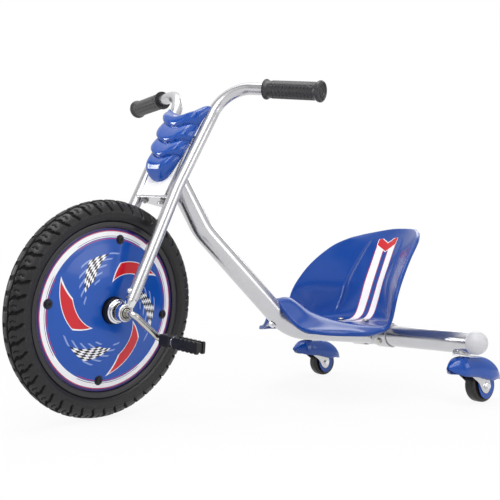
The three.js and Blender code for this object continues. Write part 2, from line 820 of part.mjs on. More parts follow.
// Fork and handlebar tubes, built on the left and mirrored for the right
const forkFoot = new THREE.Vector3(forkFootForward, forkFootOut, forkFootUp);
const forkBend = new THREE.Vector3(forkBendForward, forkBendOut, forkBendUp);
const barCorner = new THREE.Vector3(barCornerForward, barCornerOut, barCornerUp);
const barEnd = new THREE.Vector3(barEndForward, barEndOut, barCornerUp);
const barDirection = barEnd.clone().sub(barCorner).normalize();
const legDirection = forkBend.clone().sub(forkFoot).normalize();
const upperDirection = barCorner.clone().sub(forkBend).normalize();

function forkPath() {
  const end = barEnd.clone().addScaledVector(barDirection, -barEndInset);
  return new BentPath([forkFoot, forkBend, barCorner, end], [forkBendRadius, barCornerRadius]);
}

const bracketBoltPlace = forkFoot.clone().addScaledVector(legDirection, bracketBoltUp - forkFootUp);
const bracketBoltDirection = lateral.clone().cross(legDirection);

function bracketBoltHole(extra) {
  const reach = barRadius + overrun;
  return along(rod(bracketBoltRadius + extra, -reach, reach), bracketBoltDirection, bracketBoltPlace);
}

function forkTube() {
  return cut(tube(forkPath(), barRadius, barRadius - barWall), bracketBoltHole(fitGap));
}

function grip() {
  const start = -gripLength;
  const bore = barRadius + fitGap;
  const section = [
    [bore, start], [gripFlangeRadius, start], [gripFlangeRadius, start + gripFlangeWidth],
    [gripRadius, start + 2 * gripFlangeWidth], [gripRadius, -gripEndWidth - gripFlangeWidth],
    [gripEndRadius, -gripEndWidth], [gripEndRadius, -gripFlangeWidth / 2], [gripRadius, 0], [0, 0],
    [0, -gripFlangeWidth], [bore, -gripFlangeWidth], [bore, start],
  ];
  return along(lathe(section, tubeSides), barDirection, barEnd);
}

function axleBracket() {
  const body = rod(bracketRingRadius, forkFootOut - bracketHalfWidth, forkFootOut + bracketHalfWidth,
    tubeSides);
  const ground = forkFoot.clone().addScaledVector(legDirection, -forkFootUp);
  const neck = along(rod(bracketNeckRadius, bearingRadius, bracketNeckUp), legDirection, ground);
  const bore = rod(bearingRadius + fitGap, forkFootOut - bracketHalfWidth - overrun,
    forkFootOut + bracketHalfWidth + overrun, tubeSides);
  return cut(join(body, neck), bore, bracketBoltHole(fitGap));
}

function axleBearing() {
  const half = bracketHalfWidth + bearingProud;
  return ring(axleRadius + fitGap, bearingRadius, forkFootOut - half, forkFootOut + half, tubeSides);
}

function bracketBolt() {
  const face = barRadius + fitGap;
  const head = face + bracketBoltHeadHeight;
  const inHead = face + bracketBoltHeadHeight / 2;
  const bolt = join(rod(bracketBoltRadius, -inHead, inHead),
    hexRod(bracketBoltHeadRadius, face, head), hexRod(bracketBoltHeadRadius, -head, -face));
  return along(bolt, bracketBoltDirection, bracketBoltPlace);
}

for (const [side, sign] of sides) {
  const half = groupIn(fork);
  half.scale.y = sign;
  piece("fork_tube_" + side, forkTube(), frameSilver, half);
  piece("grip_" + side, grip(), gripRubber, half);
  piece("axle_bracket_" + side, axleBracket(), frameSilver, half);
  piece("axle_bearing_" + side, axleBearing(), darkSteel, half);
  piece("bracket_bolt_" + side, bracketBolt(), chrome, half);
}

// Crown plates, front panel and steerer
function tubeSleeve(extra) {
  return tube(forkPath(), barRadius + extra);
}

function mirrored(geometry) {
  return facingOut(geometry.clone().scale(1, -1, 1));
}

function forkTubeAt(height) {
  const onLeg = (height - forkBendUp) / (height < forkBendUp ? legDirection.z : upperDirection.z);
  const direction = height < forkBendUp ? legDirection : upperDirection;
  return forkBend.clone().addScaledVector(direction, onLeg);
}

function upright(geometry) {
  return along(geometry, up);
}

function crownPlate(from) {
  const tubePlace = forkTubeAt(from);
  const corner = barRadius - crownSetback;
  const outline = outlineRound([
    [tubePlace.x, tubePlace.y, corner], [tubePlace.x, -tubePlace.y, corner],
    [-forkOffset, 0, steererRadius + crownSteererMargin],
  ]);
  const plate = slab(outline, from, from + crownPlateThickness);
  const steererHole = moved(upright(rod(steererRadius + fitGap, from - overrun,
    from + crownPlateThickness + overrun, tubeSides)), -forkOffset, 0, 0);
  const sleeve = tubeSleeve(2 * fitGap);
  return cut(plate, steererHole, sleeve, mirrored(sleeve));
}

// The panel leans back with the upper part of the fork tubes.
const panelFoot = crownPlateUp + crownPlateThickness + fitGap;
const panelFootForward = forkBendForward + barRadius - panelSetback
  + (panelFoot - forkBendUp) * (upperDirection.x / upperDirection.z);

function crownBoltPlace(sign) {
  return [panelFootForward - crownBoltBack, sign * crownBoltOut, crownPlateUp];
}

function crownBoltHole(sign) {
  const hole = upright(rod(crownBoltRadius + fitGap, -overrun, crownPlateThickness + 3 * panelThickness));
  return moved(hole, ...crownBoltPlace(sign));
}

function crownPanel() {
  const top = panelFoot + panelHeight;
  const topForward = panelFootForward + (top - panelFoot) * (upperDirection.x / upperDirection.z);
  const front = prism([
    [panelFootForward - panelThickness, panelFoot], [panelFootForward, panelFoot], [topForward, top],
    [topForward - panelThickness, top],
  ], -panelHalfWidth, panelHalfWidth);
  const tab = (sign) => {
    const [y0, y1] = [crownBoltOut - crownBoltHeadRadius, panelHalfWidth].map((y) => sign * y);
    return box(panelFootForward - panelTabLength, panelFootForward - panelThickness / 2,
      Math.min(y0, y1), Math.max(y0, y1), panelFoot, panelFoot + panelThickness);
  };
  const sleeve = tubeSleeve(fitGap);
  return cut(join(front, tab(1), tab(-1)), crownBoltHole(1), crownBoltHole(-1), sleeve, mirrored(sleeve));
}

function crownBolt(sign) {
  const above = crownPlateThickness + fitGap + panelThickness + fitGap;
  const bolt = join(
    rod(crownBoltRadius, -fitGap - crownBoltHeadHeight / 2, above + crownBoltHeadHeight / 2),
    hexRod(crownBoltHeadRadius, -fitGap - crownBoltHeadHeight, -fitGap),
    hexRod(crownBoltHeadRadius, above, above + crownBoltHeadHeight),
  );
  return moved(upright(bolt), ...crownBoltPlace(sign));
}

function steerer() {
  const cap = crownTopUp + crownPlateThickness + fitGap;
  return upright(lathe([
    [0, steererBottomUp], [steererRadius, steererBottomUp], [steererRadius, cap],
    [steererCapRadius, cap], [steererCapRadius, cap + steererCapHeight / 2],
    [steererRadius, cap + steererCapHeight], [0, cap + steererCapHeight],
  ], tubeSides)).translate(-forkOffset, 0, 0);
}

piece("crown_lower", cut(crownPlate(crownPlateUp), crownBoltHole(1), crownBoltHole(-1)), frameSilver, fork);
piece("crown_upper", crownPlate(crownTopUp), frameSilver, fork);
piece("crown_panel", crownPanel(), palePlastic, fork);
piece("steerer", steerer(), frameSilver, fork);
for (const [side, sign] of sides) {
  piece("crown_bolt_" + side, crownBolt(sign), chrome, fork);
}

// Number plate: rings of its outline drawn in and forward, thick towards the back
function numberPlate() {
  const halfOutline = plateOutlineShares.map(([out, rise]) => [out * plateHalfWidth, rise * plateHeight]);
  const outline = [
    ...halfOutline, ...halfOutline.slice(1, -1).map(([y, z]) => [-y, z]).reverse(),
  ];
  const middle = plateHeight / 2;
  const ringAt = (inward, forward, inset) => outline.map(([y, z]) => {
    const length = Math.hypot(y, z - middle);
    const keep = (1 - inward) - inset / length;
    return new THREE.Vector3(forward, y * keep, middle + (z - middle) * keep);
  });
  const front = plateDomeShares.map(([inward, rise]) => ringAt(inward, rise * plateDepth, 0));
  const back = plateDomeShares.map(([inward, rise]) => (
    ringAt(inward, rise * (plateDepth - plateThickness), inward < plateRimShare ? plateThickness : 0)));
  return loft([...back.reverse(), ...front]);
}

const plateFootForward = forkTubeAt(plateFootUp).x + barRadius / upperDirection.z + fitGap;
const plate = groupIn(fork, plateFootForward, 0, plateFootUp);
plate.rotation.y = -plateLean * degree;
piece("number_plate", numberPlate(), bluePlastic, plate);

// Head tube and bearing cups, on the steering axis but fixed to the frame
const head = groupIn(model, ...steerFoot);
head.rotation.y = -rake;

function bearingCup(foot, direction) {
  const bore = steererRadius + fitGap;
  const skirt = headRadius - headWall - fitGap;
  const section = [
    [bore, 0], [headRadius, 0], [headRadius, cupFlangeThickness], [skirt, cupFlangeThickness],
    [skirt, cupFlangeThickness + cupSkirtLength], [bore, cupFlangeThickness + cupSkirtLength], [bore, 0],
  ];
  return moved(upright(lathe(section.map(([radius, z]) => [radius, z * direction]), tubeSides)), 0, 0, foot);
}

piece("head_tube", upright(ring(headRadius - headWall, headRadius, headUp, headUp + headLength, tubeSides)),
  frameSilver, head);
piece("bearing_cup_lower", bearingCup(lowerCupUp, 1), chrome, head);
piece("bearing_cup_upper", bearingCup(upperCupUp + cupFlangeThickness, -1), chrome, head);

// Main tube from the head tube to the crossbar
const frameTop = new THREE.Vector3(
  steerFoot[0] - frameTopUp * Math.sin(rake), 0, steerFoot[2] + frameTopUp * Math.cos(rake));
const crossCentre = new THREE.Vector3(-barBack, 0, barHeight);

function frameCorners() {
  return [
    frameTop, new THREE.Vector3(-upperBendBack, 0, upperBendHeight),
    new THREE.Vector3(-lowerBendBack, 0, lowerBendHeight), crossCentre,
  ];
}

function framePath() {
  return new BentPath(frameCorners(), [frameBendRadius, frameBendRadius]);
}

function headCutter() {
  const geometry = upright(rod(headRadius + fitGap, headUp - headLength, headUp + 2 * headLength, tubeSides));
  return geometry.rotateY(-rake).translate(...steerFoot);
}

function crossCutter(halfLength = crossHalfLength + overrun) {
  return moved(rod(crossRadius + fitGap, -halfLength, halfLength, tubeSides), -barBack, 0, barHeight);
}

// The front seat bolt crosses the main tube square to its lower straight run.
const runDirection = frameCorners()[2].clone().sub(frameCorners()[1]).normalize();
const frontBoltDirection = new THREE.Vector3(runDirection.z, 0, -runDirection.x);
const frontBoltPlace = frameCorners()[1].clone().addScaledVector(
  runDirection, (frontBoltBack - upperBendBack) / -runDirection.x);

function frontBoltHole() {
  const hole = rod(boltRadius + fitGap, -frameRadius - overrun, frameRadius + overrun);
  return along(hole, frontBoltDirection, frontBoltPlace);
}

function mainTube() {
  const body = tube(framePath(), frameRadius, frameRadius - frameWall, tubeSides);
  return cut(body, headCutter(), crossCutter(), frontBoltHole());
}

piece("main_tube", mainTube(), frameSilver, model);

// Crossbar, end caps and saddle sleeve
const saddleBoltTurn = saddleBoltAngle * degree;
const saddleBoltDirection = new THREE.Vector3(Math.cos(saddleBoltTurn), 0, Math.sin(saddleBoltTurn));

function saddleBoltHoles() {
  return sides.map(([, sign]) => {
    const hole = rod(boltRadius + fitGap, crossRadius - 2 * crossWall, crossRadius + 2 * saddleThickness);
    return along(hole, saddleBoltDirection, crossCentre.clone().setY(sign * saddleBoltOut));
  });
}

function swivelled(geometry, sign) {
  return upright(geometry).rotateY(-swivelLean * degree)
    .translate(-barBack, (sign * casterTrack) / 2, barHeight);
}

function crossbar() {
  const body = ring(crossRadius - crossWall, crossRadius, -crossHalfLength, crossHalfLength, tubeSides);
  const pinHole = rod(kingpinRadius + fitGap, -crossRadius - overrun, 0);
  const holes = sides.map(([, sign]) => swivelled(pinHole, sign));
  return cut(moved(body, -barBack, 0, barHeight), ...holes, ...saddleBoltHoles());
}

function endCap() {
  const start = crossHalfLength + fitGap;
  const spigot = crossRadius - crossWall - fitGap;
  const section = [
    [0, start - endCapSpigot], [spigot, start - endCapSpigot], [spigot, start], [crossRadius, start],
    [crossRadius, start + endCapRim],
  ];
  for (let i = 1; i <= capSteps; i++) {
    const angle = ((i / capSteps) * Math.PI) / 2;
    const radius = i < capSteps ? crossRadius * Math.cos(angle) : 0;
    section.push([radius, start + endCapRim + endCapDome * Math.sin(angle)]);
  }
  return moved(lathe(section, tubeSides), -barBack, 0, barHeight);
}

function seatBoltPlace(sign) {
  return new THREE.Vector3(-seatBoltBack, sign * seatBoltOut, saddleEarTop);
}

function seatBoltHole(sign) {
  const place = seatBoltPlace(sign);
  const depth = saddleEarThickness + overrun;
  return moved(upright(rod(boltRadius + fitGap, -depth, 5 * seatThickness)), place.x, place.y, place.z);
}

function saddleSleeve() {
  const sleeve = moved(rod(crossRadius + fitGap + saddleThickness, -saddleHalfLength, saddleHalfLength,
    tubeSides), -barBack, 0, barHeight);
  const ears = sides.map(([, sign]) => {
    const [y0, y1] = [sign * saddleEarOut, sign * saddleHalfLength].sort((p, q) => p - q);
    return box(-saddleEarRear, -saddleEarFront, y0, y1, saddleEarTop - saddleEarThickness, saddleEarTop);
  });
  const web = sides.map(([, sign]) => {
    const [y0, y1] = [sign * saddleEarOut, sign * saddleHalfLength].sort((p, q) => p - q);
    return box(-barBack - saddleEarThickness, -barBack + saddleEarThickness, y0, y1,
      barHeight, saddleEarTop);
  });
  const frameBore = tube(framePath(), frameRadius + fitGap);
  return cut(join(sleeve, ...ears, ...web), crossCutter(), frameBore, ...saddleBoltHoles(),
    seatBoltHole(1), seatBoltHole(-1));
}

function saddleBolt(sign) {
  const face = crossRadius + fitGap + saddleThickness + fitGap;
  const bolt = join(rod(boltRadius, face - saddleBoltLength, face + boltHeadHeight / 2),
    hexRod(boltHeadRadius, face, face + boltHeadHeight));
  return along(bolt, saddleBoltDirection, crossCentre.clone().setY(sign * saddleBoltOut));
}

piece("crossbar", crossbar(), frameSilver, model);
piece("bar_saddle", saddleSleeve(), frameSilver, model);

// Bucket seat
function seatPoint([back, out, rise]) {
  return new THREE.Vector3(
    -seatFront - back * seatLength, out * seatHalfWidth, seatBottom + rise * seatHeight);
}

function seatRow(place) {
  const last = seatRowShares.length - 1;
  return [0, 1, 2, 3].map((k) => {
    const rowPoint = (i) => seatPoint(seatRowShares[Math.min(Math.max(i, 0), last)][k]);
    const i = Math.min(Math.floor(place * last), last - 1);
    const t = place * last - i;
    const [p, q, r, s] = [rowPoint(i - 1), rowPoint(i), rowPoint(i + 1), rowPoint(i + 2)];
    const blend = (axis) => {
      const [a, b, c, d] = [p[axis], q[axis], r[axis], s[axis]];
      return b + 0.5 * t * (c - a + t * (2 * a - 5 * b + 4 * c - d + t * (3 * (b - c) + d - a)));
    };
    return new THREE.Vector3(blend("x"), blend("y"), blend("z"));
  });
}

function seatSheet() {
  const rows = [];
  for (let i = 0; i <= seatRows; i++) {
    const [p0, p1, p2, p3] = seatRow(i / seatRows);
    const curve = new THREE.CubicBezierCurve3(p0, p1, p2, p3);
    const half = [];
    for (let j = 0; j <= seatColumns; j++) half.push(curve.getPoint(j / seatColumns));
    const right = half.slice(1).map((point) => new THREE.Vector3(point.x, -point.y, point.z)).reverse();
    rows.push([...right, ...half]);
  }
  return rows;
}

// A boss under the front of the seat stands on the main tube and takes the front seat bolt.
function seat() {
  const sheet = shell(seatSheet(), seatThickness);
  const foot = frontBoltPlace.clone().addScaledVector(frontBoltDirection, frameRadius - overrun);
  const above = shell(seatSheet().slice(0, seatRows / 2), -frontBossHeight);
  const boss = cut(along(rod(frontBossRadius, 0, frontBossHeight), frontBoltDirection, foot), above);
  const tubeBore = tube(framePath(), frameRadius + fitGap);
  const boltBore = along(rod(boltRadius + fitGap, 0, frontBoltDepth), frontBoltDirection, foot);
  return cut(join(sheet, boss), tubeBore, boltBore, seatBoltHole(1), seatBoltHole(-1));
}

function seatBolt(sign) {
  const place = seatBoltPlace(sign);
  const below = -saddleEarThickness - fitGap;
  const top = seatBoltTop - saddleEarTop;
  const bolt = join(rod(boltRadius, below - boltHeadHeight / 2, top + boltHeadHeight / 2),
    rod(boltHeadRadius, top, top + boltHeadHeight), hexRod(boltHeadRadius, below - boltHeadHeight, below));
  return moved(upright(bolt), place.x, place.y, place.z);
}

function seatFrontBolt() {
  const face = -frameRadius - fitGap;
  const tip = frameRadius - overrun + frontBoltDepth - fitGap;
  const bolt = join(rod(boltRadius, face - boltHeadHeight / 2, tip),
    hexRod(boltHeadRadius, face - boltHeadHeight, face));
  return along(bolt, frontBoltDirection, frontBoltPlace);
}

piece("seat", seat(), seatPlastic, model);
piece("seat_front_bolt", seatFrontBolt(), chrome, model);
for (const [side, sign] of sides) {
  const cap = piece("end_cap_" + side, endCap(), palePlastic, model);
  cap.scale.y = sign;
  piece("saddle_bolt_" + side, saddleBolt(sign), darkSteel, model);
  piece("seat_bolt_" + side, seatBolt(sign), chrome, model);
}

// Casters. A caster's own frame is level, with its origin where the swivel axis meets the crossbar's
// axis, and the leaning parts are turned in it.
function leaned(geometry) {
  return upright(geometry).rotateY(-swivelLean * degree);
}

function casterMount() {
  const body = leaned(lathe([
    [kingpinRadius + fitGap, -mountBottom], [mountFlangeRadius, -mountBottom],
    [mountFlangeRadius, mountFlangeHeight - mountBottom], [mountRadius, mountFlangeHeight - mountBottom],
    [mountRadius, -mountTop], [kingpinRadius + fitGap, -mountTop], [kingpinRadius + fitGap, -mountBottom],
  ], tubeSides));
  return cut(body, rod(crossRadius + fitGap, -crossRadius, crossRadius, tubeSides));
}

const hoodSeatTop = mountBottom + fitGap + forkWasherThickness + fitGap;

// The U of the caster fork as an outline in Y and Z
function forkBow() {
  const bow = (inset) => {
    const [half, leg] = [forkPlateHalfWidth - inset / 2, forkLegHalfWidth - inset];
    return [[-leg, -casterDrop], [-leg, -forkShoulderDrop - inset / 2], [-half, -forkPlateDrop - inset],
      [half, -forkPlateDrop - inset], [leg, -forkShoulderDrop - inset / 2], [leg, -casterDrop]];
  };
  return [...bow(0), ...bow(forkLegThickness).reverse()];
}

function roundAxle(radius, angle) {
  return [radius * Math.cos(angle) - casterTrail, radius * Math.sin(angle) - casterDrop];
}

function forkLegOutline() {
  const lobe = [];
  for (let i = 0; i <= 2 * capSteps; i++) {
    const angle = Math.PI * (1 + (forkLegLobeShare * i) / (2 * capSteps));
    lobe.push(roundAxle(forkLegEyeRadius, angle));
  }
  return [[forkFrontReach, -forkPlateDrop + overrun], [-forkRearReach, -forkPlateDrop + overrun], ...lobe,
    [forkFrontReach, -forkShoulderDrop - forkLegEyeRadius]];
}

function casterFork() {
  const bow = prism(forkBow(), -casterTrail - casterWheelRadius, forkFrontReach);
  const legs = bow.rotateZ(90 * degree).scale(-1, 1, 1);
  const sideView = prism(forkLegOutline(), -forkLegHalfWidth - overrun, forkLegHalfWidth + overrun);
  const pin = leaned(rod(kingpinRadius, -forkPlateDrop - forkLegThickness / 2, -kingpinTop));
  const washerTop = mountBottom + fitGap;
  const washerFoot = washerTop + forkWasherThickness;
  const washer = leaned(rod(mountFlangeRadius - fitGap, -washerFoot, -washerTop, tubeSides));
  const eye = rod(casterAxleRadius + fitGap, -forkLegHalfWidth - overrun, forkLegHalfWidth + overrun);
  return cut(join(common(legs, sideView), pin, washer), moved(eye, -casterTrail, 0, -casterDrop));
}

function hoodBody(inset, shares, depth) {
  const rings = shares.map(([back, width, top, bottom]) => {
    const x = hoodFront - back * hoodLength;
    const half = width * hoodHalfWidth - inset;
    const crest = -hoodTop - top * hoodHeight - inset;
    const foot = -hoodTop - bottom * hoodHeight - depth;
    const points = [];
    for (let i = 0; i <= hoodArchSteps; i++) {
      const angle = (Math.PI * i) / hoodArchSteps;
      const swell = (value) => Math.sign(value) * Math.abs(value) ** hoodArchPower;
      points.push(new THREE.Vector3(x, half * swell(Math.cos(angle)),
        foot + (crest - foot) * swell(Math.max(Math.sin(angle), 0))));
    }
    return points;
  });
  return loft(rings);
}

function cheek(sign) {
  const outline = [[cheekTopShares[0][0] * hoodLength, -hoodTop - cheekTopShares[0][1] * hoodHeight]];
  for (let i = 0; i <= 2 * capSteps; i++) {
    outline.push(roundAxle(cheekLobeRadius, (-Math.PI * cheekLobeShare * i) / (2 * capSteps)));
  }
  outline.push([cheekTopShares[1][0] * hoodLength, -hoodTop - cheekTopShares[1][1] * hoodHeight]);
  const inner = casterHubHalfWidth + cheekGap;
  const [y0, y1] = [sign * inner, sign * (inner + cheekThickness)].sort((p, q) => p - q);
  return prism(outline, y0, y1);
}

function casterCover() {
  const outer = hoodBody(0, hoodShares, 0);
  const inner = hoodBody(hoodWall, hoodShares.slice(1, -1), overrun);
  const foot = hoodSeatTop + hoodSeatDepth;
  const seatDisc = leaned(rod(mountFlangeRadius - fitGap, -foot, -hoodSeatTop, tubeSides));
  const above = leaned(rod(mountFlangeRadius + fitGap, -hoodSeatTop, 0, tubeSides));
  const pinBore = leaned(rod(kingpinRadius + fitGap, -foot - overrun, 0));
  const eye = rod(casterAxleRadius + fitGap, -forkLegHalfWidth, forkLegHalfWidth);
  const skirt = cut(outer, inner);
  const belowRoof = box(-hoodLength, hoodFront, -hoodHalfWidth, hoodHalfWidth, -2 * casterDrop,
    -hoodTop - hoodHeight / 2);
  const cheeks = [1, -1].map((sign) => {
    const whole = cheek(sign);
    return join(common(whole, outer), common(whole, belowRoof));
  });
  const bodies = join(skirt, ...cheeks, seatDisc);
  return cut(bodies, above, pinBore, moved(eye, -casterTrail, 0, -casterDrop));
}

function casterAxle() {
  const face = forkLegHalfWidth + fitGap;
  const head = face + casterBoltHeadHeight;
  const inHead = face + casterBoltHeadHeight / 2;
  const bolt = join(rod(casterAxleRadius, -inHead, inHead), hexRod(casterBoltHead, face, head),
    hexRod(casterBoltHead, -head, -face));
  return moved(bolt, -casterTrail, 0, -casterDrop);
}

function casterWheel() {
  const half = casterWheelWidth / 2;
  const bore = casterAxleRadius + fitGap;
  const shoulder = casterWheelRadius - half / 2;
  const side = [
    [casterWheelRadius, half / 3], [casterWheelRadius - half / 8, (3 * half) / 4], [shoulder, half],
    [casterHubRadius, half - casterWheelDish], [casterHubRadius, casterHubHalfWidth],
    [bore, casterHubHalfWidth],
  ];
  const other = side.map(([radius, y]) => [radius, -y]).reverse();
  return lathe([...side, ...other, side[0]], 2 * rodSides);
}

for (const [side, sign] of sides) {
  const caster = groupIn(model, -barBack, (sign * casterTrack) / 2, barHeight);
  piece("caster_mount_" + side, casterMount(), chrome, caster);
  piece("caster_fork_" + side, casterFork(), frameSilver, caster);
  piece("caster_cover_" + side, casterCover(), bluePlastic, caster);
  piece("caster_axle_" + side, casterAxle(), chrome, caster);
  const wheelPlace = groupIn(caster, -casterTrail, 0, -casterDrop);
  piece("caster_wheel_" + side, casterWheel(), rubber, wheelPlace);
}

// The finished part stands with its origin under the middle of its own box.
trike.updateMatrixWorld(true);
const extent = new THREE.Box3().setFromObject(trike, true);
const centre = extent.getCenter(new THREE.Vector3());
model.position.set(-centre.x, -centre.y, -extent.min.z);

export default trike;
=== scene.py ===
import math
from functools import partial, reduce

import bmesh
import bpy
import numpy as np
from mathutils import Matrix, Vector


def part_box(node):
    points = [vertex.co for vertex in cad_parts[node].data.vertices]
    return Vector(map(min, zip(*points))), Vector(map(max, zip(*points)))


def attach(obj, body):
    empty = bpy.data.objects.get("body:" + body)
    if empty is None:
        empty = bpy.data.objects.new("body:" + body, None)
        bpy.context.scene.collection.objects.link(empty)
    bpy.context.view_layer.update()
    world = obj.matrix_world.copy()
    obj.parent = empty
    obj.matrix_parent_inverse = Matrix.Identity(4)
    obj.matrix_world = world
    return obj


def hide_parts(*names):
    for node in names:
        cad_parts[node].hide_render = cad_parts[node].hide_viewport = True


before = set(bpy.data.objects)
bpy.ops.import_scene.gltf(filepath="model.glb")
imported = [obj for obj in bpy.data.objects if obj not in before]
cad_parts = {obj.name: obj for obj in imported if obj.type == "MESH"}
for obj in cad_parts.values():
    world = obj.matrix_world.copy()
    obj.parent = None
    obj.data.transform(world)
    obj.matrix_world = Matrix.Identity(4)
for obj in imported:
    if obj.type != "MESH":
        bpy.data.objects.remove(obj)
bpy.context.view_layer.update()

# Sizes in millimetres, as in the part's source
MM = 0.001
FIT_GAP = 0.3
TYRE_RADIUS = 203
TREAD_BLOCKS = 48
TREAD_PITCH = 360 / TREAD_BLOCKS
RIM_HALF_WIDTH = 14.7
BOLT_CIRCLE_RADIUS = 131
HUB_HALF_LENGTH = 34
AXLE_RADIUS = 6
CRANK_LENGTH = 84
CRANK_BEND_OUT = 84
CRANK_ARM_OUT = 77
CRANK_CORNER_RADIUS = 10
SPINDLE_END = 185
CRANK_ANGLE = 234.4
WHEEL_PHASE = -6.7
PEDAL_START = 88
PEDAL_BLOCK_END = 116
PEDAL_COLLAR_END = 124
PEDAL_END = 190
PEDAL_HALF_WIDTH = 10.5
PEDAL_THICKNESS = 22
PEDAL_TEETH = 6
RAKE = 20.7
FORK_OFFSET = 46
STEER = 17.3
BAR_RADIUS = 12
FORK_FOOT = Vector((-6.5, 56, 27))
FORK_BEND = Vector((-23, 51.2, 262))
BAR_CORNER = Vector((-48, 60.4, 495))
BAR_END = Vector((-94.6, 272, 495))
FORK_BEND_RADIUS = 250
BAR_CORNER_RADIUS = 66
GRIP_LENGTH = 123
STEERER_RADIUS = 12
HEAD_RADIUS = 19
CROWN_UP = 233
CROWN_THICKNESS = 5
CROWN_TOP_UP = 368.4
HEAD_UP = 243.4
HEAD_LENGTH = 120
CUP_FLANGE = 4.5
PANEL_HALF_WIDTH = 36
PANEL_HEIGHT = 92
PANEL_THICKNESS = 3
PLATE_HALF_WIDTH = 60
PLATE_HEIGHT = 173
PLATE_FOOT_UP = 268
PLATE_DEPTH = 22
PLATE_LEAN = 6
FRAME_RADIUS = 22
FRAME_BENDS = [Vector((-214, 0, 358)), Vector((-428.7, 0, 149.5))]
FRAME_BEND_RADIUS = 120
FRAME_TOP_UP = 302
BAR_BACK = 677
BAR_HEIGHT = 126.6
CROSS_RADIUS = 23.5
CROSS_HALF_LENGTH = 295
SADDLE_HALF_LENGTH = 64
SADDLE_TOP = 156.6
SEAT_FRONT = 392
SEAT_LENGTH = 349
SEAT_BOTTOM = 148
SEAT_HEIGHT = 230
SEAT_HALF_WIDTH = 188
SEAT_BOLT_BACK = 611.87
SEAT_BOLT_OUT = 44
SEAT_BOLT_TOP = 162.9
FRONT_BOLT_BACK = 401
CASTER_TRACK = 533.8
SWIVEL_LEAN = 8
CASTER_DROP = 91.9
CASTER_TRAIL = 50.6
HOOD_FRONT = 45
HOOD_LENGTH = 155
HOOD_TOP = 29.6
HOOD_HEIGHT = 52
HOOD_HALF_WIDTH = 24

# Sizes of what only the scene shows
TREAD_MIDDLE = 179
GROOVE_DEPTH = 3.0
COVER_WALL = 1.6
KNURLS = 40
TOOTH_DEPTH = 1.7
GRIP_SIDES = 120
FOLD_DEPTH = 7.5
PLATE_WALL = 2.4
WELD_STEPS = 72
PLUG_RADIUS = 23.7
PLUG_DOME = 21.6
SADDLE_GAP = 24
EAR_REACH = 80
EAR_THICKNESS = 4
CREASE_HEIGHT = 3.8
CREASE_WIDTH = 0.011
CREASE_OUT = 0.42
SEAT_EDGE_RADIUS = 4.5
SEAT_LIP = 4.0
SEAT_WALL = 3.2
STRIPE_OUT = 20
HOOD_WALL = 2.0

CAMERA_PLACE = (0.7641, 1.2680, 0.2472)
CAMERA_ANGLES = (-122.13, 2.77, -0.23)
CAMERA_LENS = 50.63

ACROSS = Vector((0, 1, 0))
UP = Vector((0, 0, 1))
CENTRE = 0.01
SIDES = (("left", 1), ("right", -1))


# Shapes
class Form:
    """Points in millimetres and the faces between them."""

    def __init__(self, points, faces):
        self.points = np.array(points, float).reshape(-1, 3)
        self.faces = [tuple(int(i) for i in face) for face in faces]

    def __add__(self, other):
        start = len(self.points)
        later = [tuple(i + start for i in face) for face in other.faces]
        return Form(np.vstack([self.points, other.points]), self.faces + later)

    def moved(self, x=0.0, y=0.0, z=0.0):
        return Form(self.points + (x, y, z), self.faces)

    def turned(self, matrix):
        return Form(self.points @ np.array(matrix.to_3x3()).T, self.faces)

    def spun(self, axis, degrees):
        return self.turned(Matrix.Rotation(math.radians(degrees), 3, axis))

    def mirrored(self):
        return Form(self.points * (1, -1, 1), [face[::-1] for face in self.faces])

    def swapped(self):
        """Changes X and Y over."""
        return Form(self.points[:, [1, 0, 2]], [face[::-1] for face in self.faces])

    def doubled(self):
        return self + self.mirrored()

    def on(self, sign):
        """The form on the left, or its mirror image on the right."""
        return self if sign > 0 else self.mirrored()

    def along(self, direction, foot=(0, 0, 0)):
        """Stands a shape made round the Y axis up along a direction."""
        return self.turned(ACROSS.rotation_difference(Vector(direction)).to_matrix()).moved(*foot)


def joined(forms):
    return reduce(Form.__add__, forms)


def curve_through(points, steps):
    """A smooth line through some points, with a number of steps between each two."""
    points = np.array(points, float)
    ends = np.vstack([2 * points[0] - points[1], points, 2 * points[-1] - points[-2]])
    line = []
    for i in range(len(points) - 1):
        a, b, c, d = ends[i:i + 4]
        for k in range(steps):
            t = k / steps
            bend = 2 * a - 5 * b + 4 * c - d + t * (3 * (b - c) + d - a)
            line.append(b + 0.5 * t * (c - a + t * bend))
    line.append(points[-1])
    return np.array(line)


def filleted(points, radius, steps=4, closed=False):
    """An outline with its corners rounded."""
    points = [np.array(p, float) for p in points]
    count = len(points)
    line = []
    for i, corner in enumerate(points):
        if not closed and i in (0, count - 1):
            line.append(corner)
            continue
        legs = [points[i - 1] - corner, points[(i + 1) % count] - corner]
        lengths = [np.linalg.norm(leg) for leg in legs]
        reach = min(radius, lengths[0] / 2.2, lengths[1] / 2.2)
        start, end = [corner + leg / length * reach for leg, length in zip(legs, lengths)]
        for k in range(steps + 1):
            t = k / steps
            line.append((1 - t) ** 2 * start + 2 * t * (1 - t) * corner + t * t * end)
    return line


def bridge(rings, closed=False, capped=True):
    """Faces over a list of rings of points, each ring closed on itself."""
    size = len(rings[0])
    faces = []
    for i in range(len(rings) - (0 if closed else 1)):
        low, high = i * size, ((i + 1) % len(rings)) * size
        for j in range(size):
            k = (j + 1) % size
            faces.append((low + j, low + k, high + k, high + j))
    if capped and not closed:
        faces.append(tuple(range(size))[::-1])
        faces.append(tuple(range((len(rings) - 1) * size, len(rings) * size)))
    return Form(np.vstack(rings), faces)


def hoop(reach, out, angles):
    """A ring round the Y axis. Its reach and its place along Y may change with the angle."""
    return np.stack([reach * np.sin(angles), out + 0 * angles, reach * np.cos(angles)], 1)


